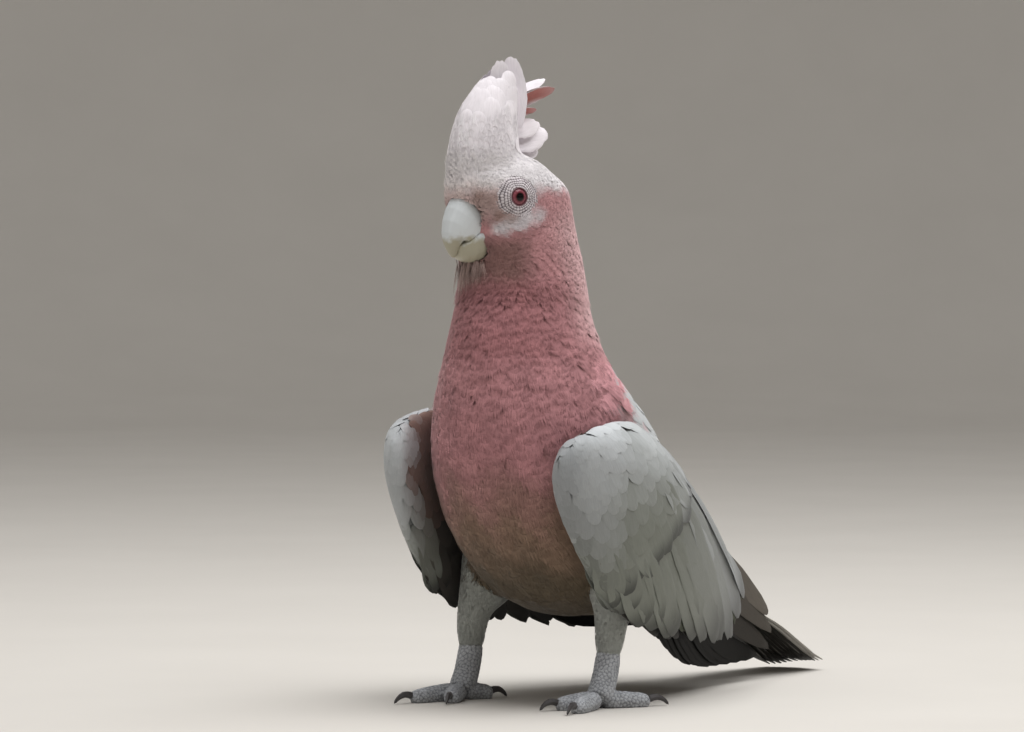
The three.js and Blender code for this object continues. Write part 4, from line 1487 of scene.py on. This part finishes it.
def make_tail():
    """Twelve tail feathers in a shallow stack, tilted so that the left ones lie on top."""
    rng = np.random.default_rng(SEED + 60)
    blades = [firm_feather(rng, 6, 14, 0.5, 0.3) for _ in range(4)]
    tree = solid_tree(["tail"])
    coat = Coat("tail_feathers", DARK, "slate_plumage", 0.5, -0.4)
    low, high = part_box("tail")
    share = np.linspace(0, 1, 10)
    count = 12
    lane = np.arange(count) - (count - 1) / 2
    x = lane[:, None] * (1.2 + 1.35 * share)[None, :] * MM
    end = high.y - 1 * MM - np.abs(lane) * 0.7 * MM
    start = low.y + 2 * MM
    y = start + (end - start)[:, None] * share[None, :]
    z = np.zeros_like(x)
    for spot in np.ndindex(x.shape):
        above = Vector((x[spot] * 0.5, min(y[spot], high.y - 4 * MM), 0.2))
        z[spot] = tree.ray_cast(above, Vector((0, 0, -1)))[0].z
    z = z + ((0.3 * lane - 0.1 * np.abs(lane)) * MM)[:, None]  # the left side is held a little higher
    z = np.maximum(z, 0.6 * MM)
    spots = np.stack([x, y, z], axis=2)
    normals = np.zeros_like(spots)
    normals[..., 2] = 1
    tint = np.tile(TAIL_GREY, (count, 1)) * rng.uniform(0.85, 1.06, (count, 1))
    height = np.full((count, len(share)), -0.3)
    place = np.stack([0.5 + x[:, 0] / 0.05, 0.1 + 0.05 * np.arange(count)], axis=1)
    wide = np.full(count, 13 * MM)
    outer = lane > 4
    # Painted light and shade: the top left lanes paler, the lanes below them darker under the wing and body.
    tint = tint * np.interp(lane, [-5.5, 3.5, 4.5, 5.5], [0.4, 0.5, 1.3, 1.8])[:, None]
    # The lower lanes' undersides: their own dark slate, darkened further as painted shade.
    for who, under in ((~outer, TAIL_SLATE_AND_SHADE), (outer, TAIL_GREY)):
        fields = [field[who] for field in (spots, normals, wide, height, tint, place)]
        coat.add(blades, *fields, SEED + 61, camber=0.02, under=under, border=0)
    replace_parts(coat.finish(), "tail")


# ------------------------------------------------------------------ crest


# The crest's rows, upward: how far up its root line is, how many feathers, their length and width in mm.
CREST_ROWS = [(0.0, 15, 30, 11), (0.08, 13, 34, 11.5), (0.2, 12, 36, 12)]
CREST_ROWS += [(0.32, 11, 36, 12), (0.44, 9, 34, 11)]
# The tallest feathers: how far left and ahead they stand, their tip's height and the way they face.
TALLEST = [(2.2, 1.2, 56.6, 0.8), (0.6, -6.0, 58.2, 0.75), (-2.4, -1.0, 55.6, -0.8), (-2.2, -7.0, 56.6, -0.7)]


def add_crest_rows(coat, hide, vanes, rng, base, top):
    """The crest's feathers in rings round the fan, each ring rooted higher than the last."""
    centre = middle("crest_fan")
    for index, (share, count, length, width) in enumerate(CREST_ROWS):
        level = base + (top - base) * share
        turn = np.arange(count) * 2 * math.pi / count + 0.3 * (index % 2) + rng.normal(0, 0.06, count)
        ring = [centre[0] + 0.02 * np.cos(turn), centre[1] + 0.02 * np.sin(turn), np.full(count, level)]
        roots, normals = hide.drop(np.stack(ring, axis=1))
        roots, normals = (field[dot(normals, FACING)[:, 0] > -0.6] for field in (roots, normals))
        count = len(roots)
        roots[:, 2] = level + rng.uniform(-1.5, 1.5, count) * MM
        up = np.tile(np.array([0, 0.15, 1.0]), (count, 1))
        room = top - rng.uniform(5, 13, count) * MM - roots[:, 2]
        room = np.minimum(length * MM * rng.uniform(0.88, 1.1, count), room)
        spots, tops = hide.paths(roots, flat_to(normals, up), room, 6)
        height = rise_profile(np.full(count, 0.75 * MM), 6, np.full(count, 0.05 + 0.05 * (5 - index)))
        shade = rng.uniform(0.93, 0.98, (count, 1)) * (1.02 - 0.03 * index)
        fields = (spots, tops, np.full(count, width * MM), height, CREST_WHITE * shade, round_body(roots))
        coat.add(vanes, *fields, SEED + 71 + index, dark_root=0.97, hide=hide)


def add_tallest(coat, vanes):
    """The crest's tallest feathers, side by side at the top."""
    share = np.linspace(0, 1, 7)
    for index, (left, ahead, tip, face) in enumerate(TALLEST):
        outward = 5.5 * math.copysign(1, face) * (1 - share) ** 1.3
        line = head_point(left + outward, ahead - 0.8 * share, tip - 30 * (1 - share))[None]
        normals = np.tile(unit(TO_LEFT * face + FACING * 0.62), (1, 7, 1))
        place = np.array([[0.5, 0.9 + 0.02 * index]])
        fields = (line, normals, np.array([11 * MM]), np.zeros((1, 7)), CREST_WHITE[None] * 0.98, place)
        coat.add([vanes[index]], *fields, SEED + 78 + index, camber=0.06)


def make_crest_base(hide, rng, vanes, base):
    """Soft feathers round the foot of the crest."""

    def size(points, small, large):
        return (small + (large - small) * rising(base, base + 22 * MM, points[:, 2])) * MM

    def lower_part(points):
        ahead = in_head(points)[:, 1]
        low_end = rising(base - 9 * MM, base - 2 * MM, points[:, 2])
        high_end = rising(base + 22 * MM, base + 8 * MM, points[:, 2])
        return high_end * low_end * (ahead > -15) * clear_of_face(points)

    roots, normals = hide.scatter(lambda p: size(p, 1.15, 2.4), lower_part, SEED + 90)
    up = np.tile(np.array([0, 0.25, 1.0]), (len(roots), 1))
    ways = jittered(flat_to(normals, up), normals, 0.1, rng)
    spots, tops = hide.paths(roots, ways, size(roots, 5, 13))
    deep = size(roots, 0.75, 1.15) * (0.5 + 0.5 * rising(base - 7 * MM, base + 3 * MM, roots[:, 2]))
    front = rising(0.45, 0.85, dot(normals, FACING)[:, 0]) * rising(base + 9 * MM, base, roots[:, 2])
    height = rise_profile(deep + 0.9 * MM * front, 5, 0.02 + rng.uniform(0, 1.2, len(roots)) * front)
    # Painted light: a tenth paler than the markings, against the shade between the barbs.
    tint = body_marks(spots[:, 3]) * rng.uniform(1.06, 1.16, (len(roots), 1))
    coat = Coat("crest_base_coat", DOWN, "white_plumage", 0.85)
    fields = (spots, tops, size(roots, 2.4, 4.4), height, tint, round_body(roots))
    coat.add(vanes, *fields, SEED + 91, hide=hide)
    coat.finish()


def make_crest_core(top):
    """A plain body inside the crest, so that no light shows through between its feathers."""

    def depth(points):
        return (1.4 + 5 * rising(top - 16 * MM, top - 8 * MM, points[:, 2])) * MM

    mesh = relaxed(remeshed("crest_core", welded(["crest_fan"], 0), 1.1 * MM), 4, depth)
    set_tint(mesh, np.tile(CREST_WHITE * 0.85, (len(mesh.vertices), 1)))
    mesh.shade_smooth()
    core = new_piece("crest_core", mesh, SKIN)
    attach(core, "root")


def make_crest():
    """Broad white feathers that stand on the crown in rising rows, with the four tallest at the top."""
    rng = np.random.default_rng(SEED + 70)
    broad = [firm_feather(rng, 8, 12, 0.8, 0.15) for _ in range(6)]
    soft = [contour_feather(rng, 2, 2, 18, 0.3) for _ in range(5)]
    solid = welded(["crest_fan", "head"], 0.4 * MM)
    hide = Hide(relaxed(remeshed("crest", solid, 1.1 * MM), 14, 0.9 * MM))
    low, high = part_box("crest_fan")
    coat = Coat("crest_feathers", FIRM, "white_plumage", 0.8, 0.02)
    add_crest_rows(coat, hide, broad, rng, low.z, high.z)
    add_tallest(coat, broad)
    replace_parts(coat.finish(), "crest_fan")
    make_crest_base(hide, rng, soft, low.z)
    make_crest_core(high.z)


# The loose feathers that curl back from the crest. Each: its root and tip in the head's frame, its bow
# upward and its width, all in mm, the way its upper face looks, and the colour of its underside.
CURLS = [
    ((2.5, -6, 41.5), (1.5, -24, 49.2), 0.8, 6.0, (0.3, -0.4, 0.85), CREST_WHITE),
    ((1.5, -6, 37.5), (1.5, -29, 44.6), 1.6, 9.0, (-0.42, 0.6, 0.68), CREST_RED),
    ((0.5, -6, 33.0), (1.5, -19.5, 36.0), 1.2, 5.0, (-0.42, 0.6, 0.68), CREST_RED),
    ((2.5, -5, 25.5), (2.5, -20.5, 30.5), 1.0, 9.0, (0.62, -0.7, 0.35), CREST_WHITE),
    ((1.0, -5, 20.5), (1.5, -25.5, 26.5), 1.6, 13.0, (0.55, -0.75, 0.35), CREST_WHITE),
    ((0.0, -5, 17.0), (0.0, -21.5, 19.5), 1.0, 10.0, (0.5, -0.75, 0.45), CREST_WHITE),
]


def make_curls():
    """The loose crest feathers that curl back, with red undersides on the upper ones."""
    rng = np.random.default_rng(SEED + 80)
    vanes = [firm_feather(rng, 8, 10, 0.75, 0.35) for _ in range(3)]
    coat = Coat("crest_curls", FIRM, "white_plumage", 0.2)
    share = np.linspace(0, 1, 8)
    for index, (root, tip, bow, width, face, under) in enumerate(CURLS):
        line = head_point(*[root[i] + (tip[i] - root[i]) * share for i in range(3)])
        line[:, 2] += bow * np.sin(share * math.pi) * MM
        normals = np.tile(unit(np.array(face)), (1, len(share), 1))
        place = np.array([[0.1 + 0.12 * index, 0.5]])
        # Painted shade: the upper curls, which face up to the light, are a little darker.
        paint = (CREST_WHITE * (0.82 + 0.06 * min(index, 3)))[None]
        fields = (line[None], normals, np.array([width * MM]), np.zeros((1, len(share))), paint, place)
        look = {"camber": 0.16, "dark_root": 0.9, "under": under}
        coat.add([vanes[index % 3]], *fields, SEED + 81 + index, **look)
    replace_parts(coat.finish(), "crest_curl_upper", "crest_curl_lower")


# ------------------------------------------------------------------ floor, light and camera


def make_stage():
    """A pale floor that sweeps up all round, a broad soft light above and a weak one in front."""
    material, tree, shader = new_material("matt pale paper", {"Roughness": 0.9, "Specular IOR Level": 0.1})
    fibre = noise(tree, node(tree, "ShaderNodeTexCoord").outputs["Object"], 9.0, 4.0)
    tree.links.new(mixed(tree, fibre, "#CBC7C1", "#D2CEC8"), shader.inputs["Base Color"])
    bm = bmesh.new()
    radius, corner, height = 4.0, 1.2, 3.2
    profile = [(0, 0), (1, 0), (radius - corner, 0)]
    for turn in np.linspace(0.2, math.pi / 2, 8):
        profile.append((radius - corner + corner * math.sin(turn), corner - corner * math.cos(turn)))
    profile.append((radius, height))
    verts = [bm.verts.new((x, 0, z)) for x, z in profile]
    edges = [bm.edges.new(pair) for pair in zip(verts, verts[1:])]
    spin_round(bm, verts + edges, 64, 1e-5)
    if min(bm.faces, key=lambda f: f.calc_center_median().length).normal.z < 0:
        bmesh.ops.reverse_faces(bm, faces=bm.faces)
    mesh = mesh_of(bm, "floor")
    mesh.shade_smooth()
    floor = new_piece("floor", mesh, material)
    world = bpy.data.worlds.new("soft room")
    world.use_nodes = True
    sky = world.node_tree.nodes["Background"]
    sky.inputs["Color"].default_value = (1.0, 0.99, 0.98, 1)
    sky.inputs["Strength"].default_value = 0.5
    bpy.context.scene.world = world
    for name, spot, size, power in (
        ("overhead softbox", (0.3, 0.05, 1.5), 1.5, 28),
        ("front softbox", (-0.9, -2.0, 1.1), 1.2, 3.6),
    ):
        light = bpy.data.lights.new(name, "AREA")
        light.size = size
        light.energy = power
        lamp = bpy.data.objects.new(name, light)
        lamp.location = spot
        lamp.rotation_euler = (Vector((0, -0.06, 0.14)) - Vector(spot)).to_track_quat("-Z", "Y").to_euler()
        bpy.context.scene.collection.objects.link(lamp)
    bpy.context.scene.view_settings.view_transform = "Standard"


def make_camera():
    """A long lens at the bird's own height, 35 degrees round from its front towards its left side."""
    around, distance, dip = math.radians(35), 2.2, math.radians(1.69)
    aim = Vector((-0.00614, -0.08934, 0.206))
    camera = bpy.data.cameras.new("long lens")
    camera.sensor_width = 36
    camera.lens = 185.6
    holder = bpy.data.objects.new("camera", camera)
    holder.location = aim + distance * Vector((math.sin(around), -math.cos(around), 0))
    holder.rotation_euler = (math.radians(90) - dip, 0, around)
    bpy.context.scene.collection.objects.link(holder)
    bpy.context.scene.camera = holder


make_camera()
make_stage()
make_skin()
for side in SIDES:
    make_foot(side)
    make_eye(side)
    make_eye_ring(side)
    make_wing(side)
    make_primaries(side)
    make_thigh_coat(side)
make_bill()
make_tail()
make_crest()
make_curls()
make_body_coat()
make_loose_tufts()
